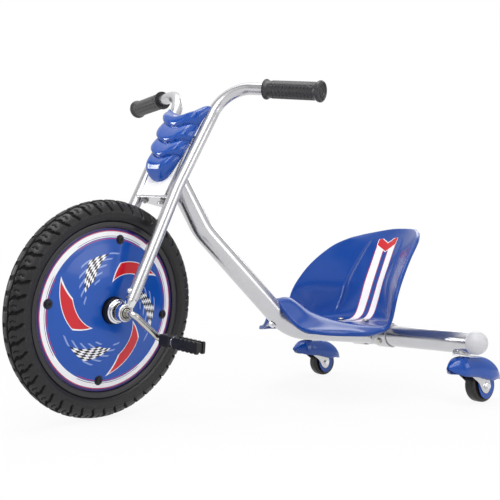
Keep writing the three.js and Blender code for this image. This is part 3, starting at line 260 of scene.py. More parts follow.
def lathe(profile, sides=96, closed=False, ripple=None):
    """Turns [radius, out] points round the Y axis."""
    angles = np.arange(sides) * 2 * math.pi / sides
    reach = ripple or (lambda radius, out, angles: radius)
    return bridge([hoop(reach(radius, out, angles), out, angles) for radius, out in profile], closed)


def turning(profile, fillet, steps=3, sides=96, closed=False):
    """A turned piece whose profile has its corners rounded."""
    return lathe(filleted(profile, fillet, steps, closed), sides, closed)


def collar(inner, outer, start, end, fillet, sides=96):
    return turning([(inner, start), (outer, start), (outer, end), (inner, end)], fillet, 3, sides, True)


def post(radius, start, end, fillet, sides=32):
    return turning([(CENTRE, start), (radius, start), (radius, end), (CENTRE, end)], fillet, 3, sides)


def hexagon(corner, angles):
    flat = corner * math.cos(math.pi / 6)
    return flat / np.cos((angles + math.pi / 6) % (math.pi / 3) - math.pi / 6)


def hex_head(corner, start, end, chamfer):
    """A hexagon head from start to end along Y, with its outer corners chamfered."""
    flat = corner * math.cos(math.pi / 6)
    rise = math.copysign(chamfer, end - start)
    profile = [(CENTRE, start), (flat * 0.97, start), (corner, start + rise * 0.3), (corner, end - rise),
               (flat * 0.98, end), (CENTRE, end)]
    return lathe(profile, 72, ripple=lambda radius, out, angles: np.minimum(hexagon(corner, angles), radius))


def washed_head(corner, start, end, chamfer, washer):
    """A hexagon head on its washer of [inner, outer, start, end, fillet]."""
    return hex_head(corner, start, end, chamfer) + collar(*washer, 48)


def bent_line(corners, radii, step=3.0):
    """The middle line of a rod with round bends."""
    line = [corners[0].copy()]
    for i in range(1, len(corners) - 1):
        corner = corners[i]
        back = (corners[i - 1] - corner).normalized()
        ahead = (corners[i + 1] - corner).normalized()
        bend = math.pi - back.angle(ahead)
        radius = radii[i - 1]
        start = corner + back * radius * math.tan(bend / 2)
        centre = corner + (back + ahead).normalized() * radius / math.cos(bend / 2)
        axis = (-back).cross(ahead).normalized()
        count = max(2, math.ceil(math.degrees(bend) / step))
        for k in range(count + 1):
            line.append(centre + Matrix.Rotation(bend * k / count, 3, axis) @ (start - centre))
    line.append(corners[-1].copy())
    return line


def sweep(line, radius, sides=48, closed=False):
    """A round rod along a line, or a list of radii for a rod that swells."""
    count = len(line)
    radii = radius if hasattr(radius, "__len__") else [radius] * count
    rings = []
    normal = None
    for i, point in enumerate(line):
        before = line[i - 1] if closed or i else line[0]
        after = line[(i + 1) % count] if closed or i < count - 1 else line[-1]
        tangent = (Vector(after) - Vector(before)).normalized()
        if normal is None:
            normal = tangent.orthogonal().normalized()
        normal = (normal - tangent * normal.dot(tangent)).normalized()
        side = tangent.cross(normal)
        rings.append(np.array([
            Vector(point) + (normal * math.cos(a) + side * math.sin(a)) * radii[i]
            for a in np.arange(sides) * 2 * math.pi / sides]))
    if closed:
        first, last = rings[0], rings[-1]
        turn = int(np.argmin([np.linalg.norm(np.roll(last, k, 0) - first) for k in range(sides)]))
        rings = [np.roll(ring, round(turn * i / (count - 1)), 0) for i, ring in enumerate(rings)]
    return bridge(rings, closed)


def prism(outline, start, end):
    """A flat outline in X and Z, from one Y to another."""
    return bridge([np.array([(x, y, z) for x, z in outline], float) for y in (start, end)])


def slab(outline, low, high):
    """A flat outline in X and Y, from one height to another."""
    return bridge([np.array([(x, y, z) for x, y in outline], float) for z in (low, high)])


def block(x0, x1, y0, y1, z0, z1):
    return slab([(x0, y0), (x1, y0), (x1, y1), (x0, y1)], z0, z1)


def taut_outline(circles, steps=64):
    """The outline of a string drawn tight round some circles of [x, y, radius]."""
    points = sorted({(round(x + r * math.cos(2 * math.pi * i / steps), 6),
                      round(y + r * math.sin(2 * math.pi * i / steps), 6))
                     for x, y, r in circles for i in range(steps)})

    def half(row):
        chain = []
        for p in row:
            while len(chain) > 1:
                (x0, y0), (x1, y1) = chain[-2:]
                if (x1 - x0) * (p[1] - y0) - (y1 - y0) * (p[0] - x0) > 0:
                    break
                chain.pop()
            chain.append(p)
        return chain[:-1]

    return half(points) + half(points[::-1])


def sheet_of(rows):
    """An open sheet over rows of points."""
    height, width = len(rows), len(rows[0])
    faces = [(i * width + j, i * width + j + 1, (i + 1) * width + j + 1, (i + 1) * width + j)
             for i in range(height - 1) for j in range(width - 1)]
    return Form(np.vstack(rows), faces)


def smoothstep(values, low, high):
    t = np.clip((values - low) / (high - low), 0, 1)
    return t * t * (3 - 2 * t)


def band(values, start, full, fall, end):
    """Rises from 0 to 1 between start and full, and falls back between fall and end."""
    return smoothstep(values, start, full) * smoothstep(-values, -end, -fall)


# Finishes
class Value:
    """A number from a node. Sums and products with it add Math nodes."""

    def __init__(self, nodes, socket):
        self.nodes = nodes
        self.socket = socket

    def maths(self, operation, *others):
        return self.nodes.node("ShaderNodeMath", {"operation": operation}, dict(enumerate((self, *others))))

    def __add__(self, other):
        return self.maths("ADD", other)

    def __mul__(self, other):
        return self.maths("MULTIPLY", other)

    def __sub__(self, other):
        return self.maths("SUBTRACT", other)

    def __rsub__(self, other):
        return self.maths("MULTIPLY_ADD", -1.0, other)

    def __truediv__(self, other):
        return self.maths("DIVIDE", other)

    __radd__ = __add__
    __rmul__ = __mul__

    def root(self):
        return self.maths("SQRT")

    def size(self):
        return self.maths("ABSOLUTE")

    def part(self):
        """What stands after the point."""
        return self.maths("FRACT")

    def larger(self, other):
        return self.maths("MAXIMUM", other)

    def above(self, edge, blur):
        """1 above an edge and 0 below it, with a soft step."""
        return self.nodes.node("ShaderNodeMapRange", {"interpolation_type": "SMOOTHSTEP"},
                               {0: self, 1: edge - blur, 2: edge + blur, 3: 0.0, 4: 1.0})

    def below(self, edge, blur):
        return 1 - self.above(edge, blur)

    def within(self, low, high, blur):
        return self.above(low, blur) * self.below(high, blur)


class Nodes:
    """The nodes of a material or of the world."""

    def __init__(self, tree):
        self.tree = tree

    def node(self, kind, settings, sockets, output=0):
        """Adds a node, with its settings first and then its sockets' values or links."""
        made = self.tree.nodes.new(kind)
        for name, setting in settings.items():
            setattr(made, name, setting)
        for place, value in sockets.items():
            if isinstance(value, Value):
                self.tree.links.new(value.socket, made.inputs[place])
            else:
                made.inputs[place].default_value = value
        return None if output is None else Value(self, made.outputs[output])

    def split(self, place, scale=1.0):
        """The three coordinates of a place, times a scale."""
        parts = self.node("ShaderNodeSeparateXYZ", {}, {0: place}).socket.node.outputs
        return [Value(self, part) * scale for part in parts]

    def ray(self, kind):
        return self.node("ShaderNodeLightPath", {}, {}, kind)

    def mix(self, share, first, second):
        """A colour that goes from the first to the second as share goes from 0 to 1."""
        return self.node("ShaderNodeMix", {"data_type": "RGBA"}, {0: share, 6: first, 7: second}, 2)


class Paint(Nodes):
    """One finish: a material whose looks are written as sums on values."""

    def __init__(self, name, colour, roughness, metallic=0.0, coat=0.0, specular=0.5):
        self.material = bpy.data.materials.new(name)
        self.material.use_nodes = True
        super().__init__(self.material.node_tree)
        self.shader = self.tree.nodes["Principled BSDF"]
        for socket, value in (("Base Color", (*colour, 1)), ("Roughness", roughness), ("Metallic", metallic),
                              ("Coat Weight", coat), ("Coat Roughness", 0.05), ("Specular IOR Level", specular)):
            self.shader.inputs[socket].default_value = value
        self.colour = colour
        self.roughness = roughness

    def feed(self, socket, value):
        self.tree.links.new(value.socket, self.shader.inputs[socket])

    def place(self):
        return self.node("ShaderNodeTexCoord", {}, {}, "Object")

    def axes(self):
        """Where a point is on its piece, in millimetres."""
        return self.split(self.place(), 1 / MM)

    def noise(self, size, detail=3.0):
        """Cloudy noise from 0 to 1 whose lumps are a size in millimetres."""
        return self.node("ShaderNodeTexNoise", {}, {"Vector": self.place(), "Scale": 1 / (size * MM),
                                                    "Detail": detail})

    def grain(self, size, detail, depth):
        """A fine uneven surface, with its lumps' size and depth in millimetres."""
        sockets = {"Strength": 1.0, "Distance": depth * MM, "Height": self.noise(size, detail)}
        self.feed("Normal", self.node("ShaderNodeBump", {}, sockets))

    def clouded(self, spread, size):
        """The finish's own colour, a little darker here and lighter there."""
        dark = tuple(c * (1 - spread) for c in self.colour) + (1,)
        light = tuple(min(1, c * (1 + spread)) for c in self.colour) + (1,)
        return self.mix(self.noise(size), dark, light)

    def worn(self, spread, size, rough_spread):
        """Uneven colour and gloss, as handling and moulding leave it."""
        self.feed("Base Color", self.clouded(spread, size))
        self.feed("Roughness", self.roughness + (self.noise(size / 3) - 0.5) * (2 * rough_spread))


def metal(name, colour, roughness, metallic=1.0, coat=0.0):
    paint = Paint(name, colour, roughness, metallic, coat)
    paint.worn(0.05, 30, 0.04)
    return paint


def plastic(name, colour, roughness, coat=0.0, spread=0.05, grain=0.012, specular=0.4):
    paint = Paint(name, colour, roughness, 0.0, coat, specular)
    paint.worn(spread, 60, 0.03)
    paint.grain(0.7, 2.0, grain)
    return paint


BLUE = (0.005, 0.075, 0.4)
SEAT_BLUE = (0.0036, 0.052, 0.29)
NAVY = (0.01, 0.012, 0.11, 1)
DEEP_VIOLET = (0.025, 0.012, 0.13, 1)
# Painted shade round each cover screw, in place of its recess
SCREW_RECESS_SHADE = (0.004, 0.012, 0.06, 1)
PALE_BLUE = (0.35, 0.45, 0.75, 1)
RED = (0.6, 0.012, 0.02, 1)
WHITE = (0.9, 0.9, 0.92, 1)
BLACK = (0.01, 0.01, 0.012, 1)
PURE_WHITE = (1, 1, 1, 1)


def tyre_rubber():
    """Black rubber with painted shade in the tread's grooves, which are also rougher, and a little greyer where it
    is scuffed.
    """
    paint = Paint("tyre rubber", (0.0085, 0.008, 0.0095), 0.42, specular=0.42)
    x, y, z = paint.axes()
    high = (x * x + z * z).root() - TREAD_MIDDLE
    # Mask of the tread's grooves, where painted shade darkens the colour and the gloss is rougher
    groove = (high * high + y * y).root().below(23.4, 0.7) * high.above(2, 2)
    scuff = paint.noise(5).above(0.62, 0.08) * 0.6
    colour = paint.mix(scuff, paint.clouded(0.3, 18), (0.022, 0.021, 0.023, 1))
    # Painted shade: a near-black colour in the grooves stands in for the shade that falls in them
    paint.feed("Base Color", paint.mix(groove, colour, (0.002, 0.002, 0.0025, 1)))
    paint.feed("Roughness", 0.36 + paint.noise(18) * 0.1 + groove * 0.5)
    paint.grain(0.9, 4.0, 0.1)
    return paint


def swirl(turn, radius, start):
    """How far a point is through one of a disc's three curved sectors, from 0 to 1."""
    return ((turn + radius * 0.016 + start) * (3 / (2 * math.pi))).part()


def disc_blue():
    """Glossy blue with a white ring, pin lines, plain curved blades, chequered bands and painted shade round each
    screw.
    """
    paint = Paint("disc blue", BLUE, 0.16, coat=0.2, specular=0.35)
    x, _, z = paint.axes()
    radius = (x * x + z * z).root()
    turn = x.maths("ARCTAN2", z)
    belly = 1 - ((radius - 88) / 36).size()
    blade = belly * 0.155 - (swirl(turn, radius, 0.0) - 0.5).size()
    sector = swirl(turn, radius, 1.05)
    lane = (radius * 0.1).part()
    off = (sector - 0.5).size()
    checks = ((sector * 14).part().above(0.5, 0.05) - lane.above(0.5, 0.05)).size()
    field = off.below(0.1, 0.004) * radius.within(70, 104, 0.6)
    streaks = off.within(0.1, 0.2, 0.006) * lane.within(0.34, 0.62, 0.05) * radius.within(62, 112, 1)
    colour = paint.clouded(0.06, 70)
    for share, tint in ((streaks * 0.7, PALE_BLUE), (field * checks, BLACK), (field * (1 - checks), WHITE),
                        (blade.above(0.0, 0.004), WHITE), (blade.above(0.016, 0.004), RED)):
        colour = paint.mix(share, colour, tint)
    arcs = (turn * (2 / math.pi) + 0.35).part().within(0.12, 0.8, 0.02)
    # Rings: the inner and outer radius, how much of the turn is painted, and the colour
    for low, high, share, tint in ((131.2, 132.2, arcs, RED), (134.0, 145.0, 1.0, WHITE),
                                   (135.8, 136.8, arcs, NAVY), (145.4, 146.8, 1.0, RED),
                                   (147.2, 160.0, 1.0, DEEP_VIOLET)):
        colour = paint.mix(radius.within(low, high, 0.15) * share, colour, tint)
    across = x.size().larger(z.size())
    beside = x.size() + z.size() - across
    away = ((across - BOLT_CIRCLE_RADIUS) * (across - BOLT_CIRCLE_RADIUS) + beside * beside).root()
    # A painted dark ring round each screw: painted shade standing in for the recess that the screw sits in
    paint.feed("Base Color", paint.mix(away.below(9.2, 0.3), colour, SCREW_RECESS_SHADE))
    paint.feed("Roughness", 0.14 + paint.noise(25) * 0.06)
    paint.grain(1.2, 2.0, 0.01)
    return paint


def seat_blue():
    """Glossy blue with two plain white stripes down the back and a plain red chevron."""
    paint = Paint("seat blue", SEAT_BLUE, 0.2, coat=0.1, specular=0.3)
    x, y, z = paint.axes()
    back = -1 * x
    beside = y.size()
    off = (beside - STRIPE_OUT).size()
    taper = 1 - back.below(500, 70)
    up = z.below(343, 1)
    rise = z - beside * 0.55
    edge = beside.below(33, 0.4) * z.below(357, 0.5)
    colour = paint.clouded(0.06, 80)
    # Stripes: half their width, how far back they start, and the colour
    for half_width, start, tint in ((12.8, 440, RED), (11, 446, WHITE)):
        colour = paint.mix((off - taper * half_width).below(0, 0.5) * back.above(start, 1) * up, colour, tint)
    colour = paint.mix(rise.within(323, 347, 0.5) * edge, colour, WHITE)
    colour = paint.mix(rise.within(325, 345, 0.5) * edge * beside.below(31.5, 0.4), colour, RED)
    paint.feed("Base Color", colour)
    paint.feed("Roughness", 0.17 + paint.noise(30) * 0.07)
    paint.grain(1.1, 2.0, 0.012)
    return paint


def grip_finish():
    paint = Paint("grip rubber", (0.022, 0.02, 0.023), 0.36, specular=0.6)
    paint.worn(0.2, 9, 0.06)
    paint.grain(0.5, 3.0, 0.05)
    return paint


def caster_rubber():
    """Black rubber with dusty sides."""
    paint = Paint("caster rubber", (0.008, 0.008, 0.008), 0.34, specular=0.4)
    side = paint.axes()[1].size().above(9.5, 1.5)
    paint.feed("Base Color", paint.mix(side * paint.noise(6), (0.008, 0.008, 0.008, 1), (0.03, 0.022, 0.018, 1)))
    paint.feed("Roughness", 0.3 + paint.noise(5) * 0.2)
    paint.grain(0.6, 3.0, 0.05)
    return paint


silver = metal("silver paint", (0.58, 0.58, 0.6), 0.23, 0.92, coat=0.12)
satin_steel = metal("satin steel", (0.55, 0.54, 0.51), 0.22)
chrome = metal("chrome", (0.74, 0.74, 0.76), 0.09)
dull_steel = metal("dull steel", (0.3, 0.3, 0.31), 0.3)
black_steel = metal("black steel", (0.014, 0.014, 0.017), 0.3, 0.4)
rim_paint = metal("rim paint", (0.022, 0.021, 0.024), 0.3, 0.3, coat=0.2)
gloss_blue = plastic("gloss blue", (0.0044, 0.068, 0.37), 0.1, coat=0.3)
hood_blue = plastic("hood blue", (0.0042, 0.064, 0.35), 0.14, coat=0.3)
panel_white = plastic("panel white", (0.93, 0.93, 0.94), 0.3, coat=0.2, spread=0.02)
cap_plastic = plastic("cap plastic", (0.6, 0.6, 0.62), 0.33, spread=0.03, grain=0.02)
black_plastic = plastic("black plastic", (0.01, 0.01, 0.011), 0.36, grain=0.03)
dark_seal = plastic("dark seal", (0.012, 0.012, 0.012), 0.5)
hub_black = metal("hub black", (0.01, 0.01, 0.012), 0.25, 0.4)
tyre_black = tyre_rubber()
disc_paint = disc_blue()
seat_paint = seat_blue()
seat_plain = plastic("seat plain", SEAT_BLUE, 0.2, coat=0.1, specular=0.3)
grip_rubber = grip_finish()
wheel_rubber = caster_rubber()


# Places
def shift(x, y, z):
    return Matrix.Translation((x * MM, y * MM, z * MM))


def turn_y(degrees):
    return Matrix.Rotation(math.radians(degrees), 4, "Y")


bar_low, bar_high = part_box("crossbar")
model = Matrix.Translation(((bar_low.x + bar_high.x) / 2 + BAR_BACK * MM, 0,
                            (bar_low.z + bar_high.z) / 2 - BAR_HEIGHT * MM))
rake = math.radians(RAKE)
head_axis = Vector((-math.sin(rake), 0, math.cos(rake)))
steer_foot = Vector((-FORK_OFFSET * math.cos(rake), 0, TYRE_RADIUS - FORK_OFFSET * math.sin(rake)))
head_frame = model @ shift(*steer_foot) @ turn_y(-RAKE)
fork_frame = head_frame @ Matrix.Rotation(math.radians(STEER), 4, "Z") @ shift(FORK_OFFSET, 0, 0)
upright_place = Matrix.Translation(fork_frame.to_translation())
axle_frame = fork_frame @ turn_y(RAKE)
wheel_frame = axle_frame @ turn_y(WHEEL_PHASE)
cross_place = model @ shift(-BAR_BACK, 0, BAR_HEIGHT)


def put(name, data, place):
    """Puts a mesh, a lamp or a camera into the scene."""
    made = bpy.data.objects.new(name, data)
    bpy.context.scene.collection.objects.link(made)
    made.matrix_world = place
    return made


def piece(body, place, name, form, paint, slot, *nodes, crease=38, bevel=0.0, thickness=0.0, behind=None):
    """Makes a form into a piece of the scene that rides on a body and stands for some nodes."""
    mesh = bpy.data.meshes.new(name)
    mesh.from_pydata([tuple(p) for p in form.points * MM], [], form.faces)
    shape = bmesh.new()
    shape.from_mesh(mesh)
    bmesh.ops.remove_doubles(shape, verts=shape.verts, dist=0.00001)
    bmesh.ops.recalc_face_normals(shape, faces=shape.faces)
    shape.to_mesh(mesh)
    shape.free()
    for polygon in mesh.polygons:
        polygon.use_smooth = True
    mesh.set_sharp_from_angle(angle=math.radians(crease))
    mesh.materials.append(paint.material)
    made = put(name, mesh, place)
    if thickness:
        wall = made.modifiers.new("wall", "SOLIDIFY")
        wall.thickness = thickness * MM
        wall.offset = -1
        if behind:
            mesh.materials.append(behind.material)
            wall.material_offset = 1
    if bevel:
        rounding = made.modifiers.new("rounding", "BEVEL")
        rounding.width = bevel * MM
        rounding.segments = 3
        rounding.limit_method = "ANGLE"
        rounding.angle_limit = math.radians(crease)
        made.modifiers.new("normals", "WEIGHTED_NORMAL").keep_sharp = True
    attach(made, body)
    if nodes:
        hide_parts(*nodes)


def dress(node, paint):
    """Gives a CAD node that stays a better finish."""
    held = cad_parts[node]
    held.data.materials.clear()
    held.data.materials.append(paint.material)


on_wheel = partial(piece, "front_wheel", wheel_frame)
on_fork = partial(piece, "front_fork", fork_frame)
on_frame = partial(piece, "frame", model)
on_head = partial(piece, "frame", head_frame)
on_cross = partial(piece, "frame", cross_place)


# Front wheel
def tyre():
    """The tyre's skin, with its tread blocks and side ribs as heights over a smooth section."""
    half = [(163, 14.4), (164.5, 17.6), (167, 20.8), (171, 23.6), (176, 25.0), (181, 25.2), (185.7, 24.4),
            (190.5, 22.0), (195.3, 18.2), (199, 13.2), (201.6, 7.6), (203, 0)]
    outer = curve_through(half, 5)
    section = np.vstack([outer, (outer * (1, -1))[::-1][1:]])
    steps = 12 * TREAD_BLOCKS
    radius, side = section[:, 0][:, None], section[:, 1][:, None]
    angle = np.arange(steps) / steps * 2 * math.pi
    turns = angle[None, :] / (2 * math.pi) * TREAD_BLOCKS
    lateral = np.abs(side)
    zigzag = np.abs((turns * 0.5 % 1) - 0.5) * 2 - 0.5
    phase = (turns + 0.5 * (side < 0) + 0.02 * lateral + 0.06 * np.sin(lateral * 0.55)) % 1
    shoulder_cut = (phase < 0.21) * smoothstep(lateral, 8.5, 9.5)
    sipe = (np.abs(phase - 0.63) < 0.05) * band(lateral, 11, 12, 20, 21) * 0.5
    middle_cut = ((turns + 0.5) % 1 < 0.2) * smoothstep(-lateral, -6.6, -5.8) * 0.8
    ring_cut = band(lateral - zigzag, 5.9, 6.4, 8.4, 8.9)
    cut = np.maximum.reduce([shoulder_cut, sipe, middle_cut, ring_cut])
    edge_block = band(radius, 176.5, 178.5, 182, 184) * (phase > 0.21) * 0.9
    ribs = 0.35 * np.maximum(0, np.sin((radius - 166) * 2.6)) * band(radius, 166, 167, 172, 173)
    height = edge_block + ribs - smoothstep(radius, 179, 183) * cut * GROOVE_DEPTH
    out_radius = radius - TREAD_MIDDLE
    share = height / np.hypot(out_radius, side)
    rings = [hoop(reach, out, angle) for reach, out in zip(radius + share * out_radius, side + share * side)]
    toe = [(155.3, -14.4), (155.3, -9.4), (160, -9.4), (160, 9.4), (155.3, 9.4), (155.3, 14.4)]
    return bridge(rings + [hoop(r, y, angle) for r, y in toe], closed=True)


def rim():
    """The rim's section, with its two flanges and the well between them, turned round the axle."""
    half, well = RIM_HALF_WIDTH, 6
    upper = [(163, half + 2.5), (163, half), (155, half), (155, well + 3), (148, well)]
    lower = [(145.5, well + 1.2), (152.5, well + 4.2), (152.5, half + 0.6), (155.5, half + 2.5)]
    flip = lambda points: [(r, -y) for r, y in points][::-1]
    return turning(upper + flip(upper) + flip(lower) + lower, 1.3, 4, 180, True)


def disc():
    """A disc cover with its rolled edge, flat ring, dome and hub hole."""
    dome = curve_through([(124.8, 12.3), (96, 17.2), (61, 22.4), (30, 23.8), (25.6, 23.8)], 8)
    edge = [(150.6, 10.9), (151.8, 11.4), (151.6, 12.0), (150.6, 12.3), (148.2, 12.3), (147.6, 12.05)]
    front = [(147.0, 12.3), *[tuple(p) for p in dome]]
    back = [(r, y - COVER_WALL) for r, y in front[::-1]] + [(149.5, 10.7)]
    return lathe(edge + front + back, 180, closed=True)


def cover_screw():
    """A screw through the wheel, with a cup washer and a socket head on each side."""
    radius, start, end, socket, floor = 5.6, 12.9, 16.4, 2.6, 14.2
    profile = [(CENTRE, start), (radius, start), (radius, end - 0.7), (radius - 0.25, end - 0.25),
               (radius - 0.8, end), (socket + 0.5, end), (socket, end - 0.4), (socket, floor), (CENTRE, floor)]
    head = lathe(profile, 72, ripple=lambda size, out, angles: hexagon(socket, angles) if size == socket else size)
    return (collar(3.2, 7.4, 12.35, 13.6, 0.5, 64) + head).doubled() + post(3, -13, 13, 0.2)


def hub():
    """A hub with a knurled collar at each end."""
    profile = [(6.3, 0), (21, 0), (21, 10), (22, 12), (24.6, 12.6), (25, 13.6), (25, 16.2), (24.2, 16.8),
               (24.2, 17.4), (25, 18), (25, 31.6), (23.6, 33.6), (21, 34), (6.3, 34)]

    def knurl(radius, out, angles):
        depth = 0.75 if 18.0 <= out <= 31.7 and radius > 24.5 else 0.0
        return radius - depth * (0.5 + 0.5 * np.cos(angles * KNURLS)) ** 0.5

    rows = []
    for (r0, y0), (r1, y1) in zip(profile, profile[1:]):
        count = 1 if abs(y1 - y0) < 6 else 5
        rows += [(r0 + (r1 - r0) * k / count, y0 + (y1 - y0) * k / count) for k in range(count)]
    half = lathe(rows + profile[-1:], 8 * KNURLS, ripple=knurl)
    half.faces = half.faces[:-2]
    return half.doubled()


def hub_nut():
    """A rounded chrome nut with a turned groove."""
    profile = [(6.3, 0), (20.6, 0), (22.4, 1.2), (22.6, 3.6), (21.2, 4.8), (19, 5), (19, 5.6), (19.8, 6.2),
               (19, 8), (17, 8.7), (6.3, 8.7)]
    return turning([(r, HUB_HALF_LENGTH + FIT_GAP + y) for r, y in profile], 0.5)


def crank():
    """The axle, bent into a crank and a pedal spindle at each end."""
    half = lambda sign: [Vector((0, sign * out, sign * up)) for out, up in (
        (CRANK_BEND_OUT, 0), (CRANK_ARM_OUT, CRANK_LENGTH), (SPINDLE_END, CRANK_LENGTH))]
    line = bent_line(half(-1)[::-1] + half(1), [CRANK_CORNER_RADIUS] * 4, 4.0)
    return sweep(line, AXLE_RADIUS, 40).spun("Y", CRANK_ANGLE - WHEEL_PHASE)


piece("front_wheel", axle_frame @ turn_y(WHEEL_PHASE + TREAD_PITCH), "tyre", tyre(), tyre_black, "tyre_rubber",
      "front_tyre", crease=50)
on_wheel("rim", rim(), rim_paint, "rim_steel", "front_rim")
for index, (ahead, up) in enumerate(((0, 1), (1, 0), (0, -1), (-1, 0)), 1):
    screw = cover_screw().moved(BOLT_CIRCLE_RADIUS * ahead, 0, BOLT_CIRCLE_RADIUS * up)
    on_wheel("cover_screws_%d" % index, screw, black_steel, "bolt_black", "cover_bolt_%d" % index)
on_wheel("hub", hub(), hub_black, "hub_metal", "hub_shell", crease=50)
on_wheel("crank", crank(), satin_steel, "bright_steel", "crank_axle")
for side, sign in SIDES:
    on_wheel("disc_" + side, disc().on(sign), disc_paint, "cover_blue", "disc_cover_" + side)
    on_wheel("hub_lock_" + side, hub_nut().on(sign), chrome, "bright_steel", "hub_nut_" + side)
dress("inner_tube", dark_seal)
dress("wheel_web", rim_paint)


# Pedals
def pedal_tread():
    """The two treads of a pedal, each with a row of teeth along its upper and its lower face."""
    start = PEDAL_COLLAR_END + 0.3
    pitch = (PEDAL_END - start) / PEDAL_TEETH
    top = PEDAL_THICKNESS / 2
    root = top - TOOTH_DEPTH
    edge = []
    for i in range(PEDAL_TEETH):
        y = start + i * pitch
        edge += [(y, root), (y + 0.3 * pitch, root), (y + 0.42 * pitch, top), (y + 0.86 * pitch, top)]
    edge += [(PEDAL_END - 0.4, root), (PEDAL_END, root - 2)]
    outline = edge + [(y, -z) for y, z in edge][::-1]
    return (prism(outline, 4.4, PEDAL_HALF_WIDTH) + prism(outline, -PEDAL_HALF_WIDTH, -4.4)).swapped()


def pedal_core():
    """The middle of the pedal between its treads, and the plate at its inner end."""
    start = PEDAL_COLLAR_END + 0.3
    wide = PEDAL_HALF_WIDTH - 1
    return block(-5, 5, start, PEDAL_END - 2, -8.4, 8.4) + block(-wide, wide, start, start + 3, -9.4, 9.4)


crank_angle = math.radians(CRANK_ANGLE)
block_wide = PEDAL_HALF_WIDTH + 0.4
pedal_block = block(-block_wide, block_wide, PEDAL_START, PEDAL_BLOCK_END, -block_wide, block_wide)
pedal_collar = collar(6.3, 9.8, PEDAL_BLOCK_END, PEDAL_COLLAR_END, 0.6, 64)
pedal_ring = collar(9.5, 10.3, PEDAL_BLOCK_END + 1.6, PEDAL_COLLAR_END - 2.4, 0.3, 64)
for side, sign in SIDES:
    reach = sign * CRANK_LENGTH
    place = axle_frame @ shift(reach * math.sin(crank_angle), 0, reach * math.cos(crank_angle))
    on_pedal = partial(piece, "pedal_" + side, place)
    on_pedal("pedal_block_" + side, pedal_block.on(sign), black_plastic, "pedal_plastic", "pedal_sleeve_" + side,
             bevel=1.8)
    on_pedal("pedal_collar_" + side, pedal_collar.on(sign), black_plastic, "pedal_plastic")
    on_pedal("pedal_ring_" + side, pedal_ring.on(sign), satin_steel, "pedal_plastic")
    on_pedal("pedal_tread_" + side, pedal_tread().on(sign), black_plastic, "pedal_plastic", "pedal_grip_" + side,
             bevel=0.5)
    on_pedal("pedal_core_" + side, pedal_core().on(sign), black_plastic, "pedal_plastic", bevel=1.2)


# Fork, handlebar and grips
leg_direction = (FORK_BEND - FORK_FOOT).normalized()
upper_direction = (BAR_CORNER - FORK_BEND).normalized()
bar_direction = (BAR_END - BAR_CORNER).normalized()


def fork_tubing():
    corners = [FORK_FOOT, FORK_BEND, BAR_CORNER, BAR_END - bar_direction * 8]
    return sweep(bent_line(corners, [FORK_BEND_RADIUS, BAR_CORNER_RADIUS], 2.0), BAR_RADIUS, 64)


def grip_sleeve():
    """The ribbed sleeve of a hand grip, with its length along Y and its outer end at 0."""
    inner = -GRIP_LENGTH
    base = curve_through([(19.7, inner + 3.6), (17.2, inner + 8), (16.6, inner + 14), (16.6, -70), (16.6, -20),
                          (17.0, -13), (19.0, -9.5)], 22)
    outs = base[:, 1]

    def ribbed(radius, out, angles):
        if radius < 13:
            return radius
        pads = (np.abs((angles * 12 / (2 * math.pi)) % 1 - 0.5) < 0.36)
        raised = pads * (0.16 < ((out - inner) / 7.6) % 1 < 0.9) * (inner + 15 < out < -16)
        panel = np.abs(((angles + 0.35) * 2 / (2 * math.pi)) % 1 - 0.5) < 0.13
        flat = panel * (inner + 22 < out < -24)
        return radius + 0.85 * raised * (1 - flat) + 0.5 * flat

    places = [outs[0] + (outs[-1] - outs[0]) * k / 259 for k in range(260)]
    skin = [(float(np.interp(out, outs, base[:, 0])), out) for out in places]
    return lathe([(12.4, places[0])] + skin + [(12.4, places[-1])], GRIP_SIDES, ripple=ribbed)


def grip_flange():
    start = -GRIP_LENGTH
    return turning([(12.35, start), (19.7, start), (19.9, start + 3.4), (17.6, start + 4.4), (12.35, start + 4.4)],
                   0.9, closed=True)


def grip_end():
    """The flanged outer end, with a shallow dish and a raised ring in it."""
    return turning([(12.4, -9.6), (18.6, -9.6), (20.3, -7.4), (20.4, -3.0), (18.2, -0.4), (15.4, -0.1),
                    (14.6, -2.6), (10.6, -2.6), (10.0, -0.6), (7.4, -0.6), (6.8, -2.4), (CENTRE, -2.2)], 0.5)


def neck():
    """The neck that goes from the axle's eye up into the fork tube."""
    profile = [(CENTRE, 9), (8.2, 11), (8.8, 15), (10, 22), (10.3, 27.6), (CENTRE, 30)]
    return turning(profile, 1.6, 4, 64).along(leg_direction, FORK_FOOT - leg_direction * FORK_FOOT.z)


def clamp_bolt():
    bolt = (washed_head(5, 12.9, 16.6, 0.5, (2.6, 5.6, 12.2, 12.9, 0.2))
            + washed_head(5, -12.9, -16.6, 0.5, (2.6, 5.6, -12.9, -12.2, 0.2)) + post(2.5, -18.6, 18, 0.4))
    return bolt.along(ACROSS.cross(leg_direction), FORK_FOOT + leg_direction * 12)


def at_foot(inner, outer, half_length, fillet):
    """A collar round the axle, in the middle of the fork's foot."""
    return collar(inner, outer, FORK_FOOT.y - half_length, FORK_FOOT.y + half_length, fillet)


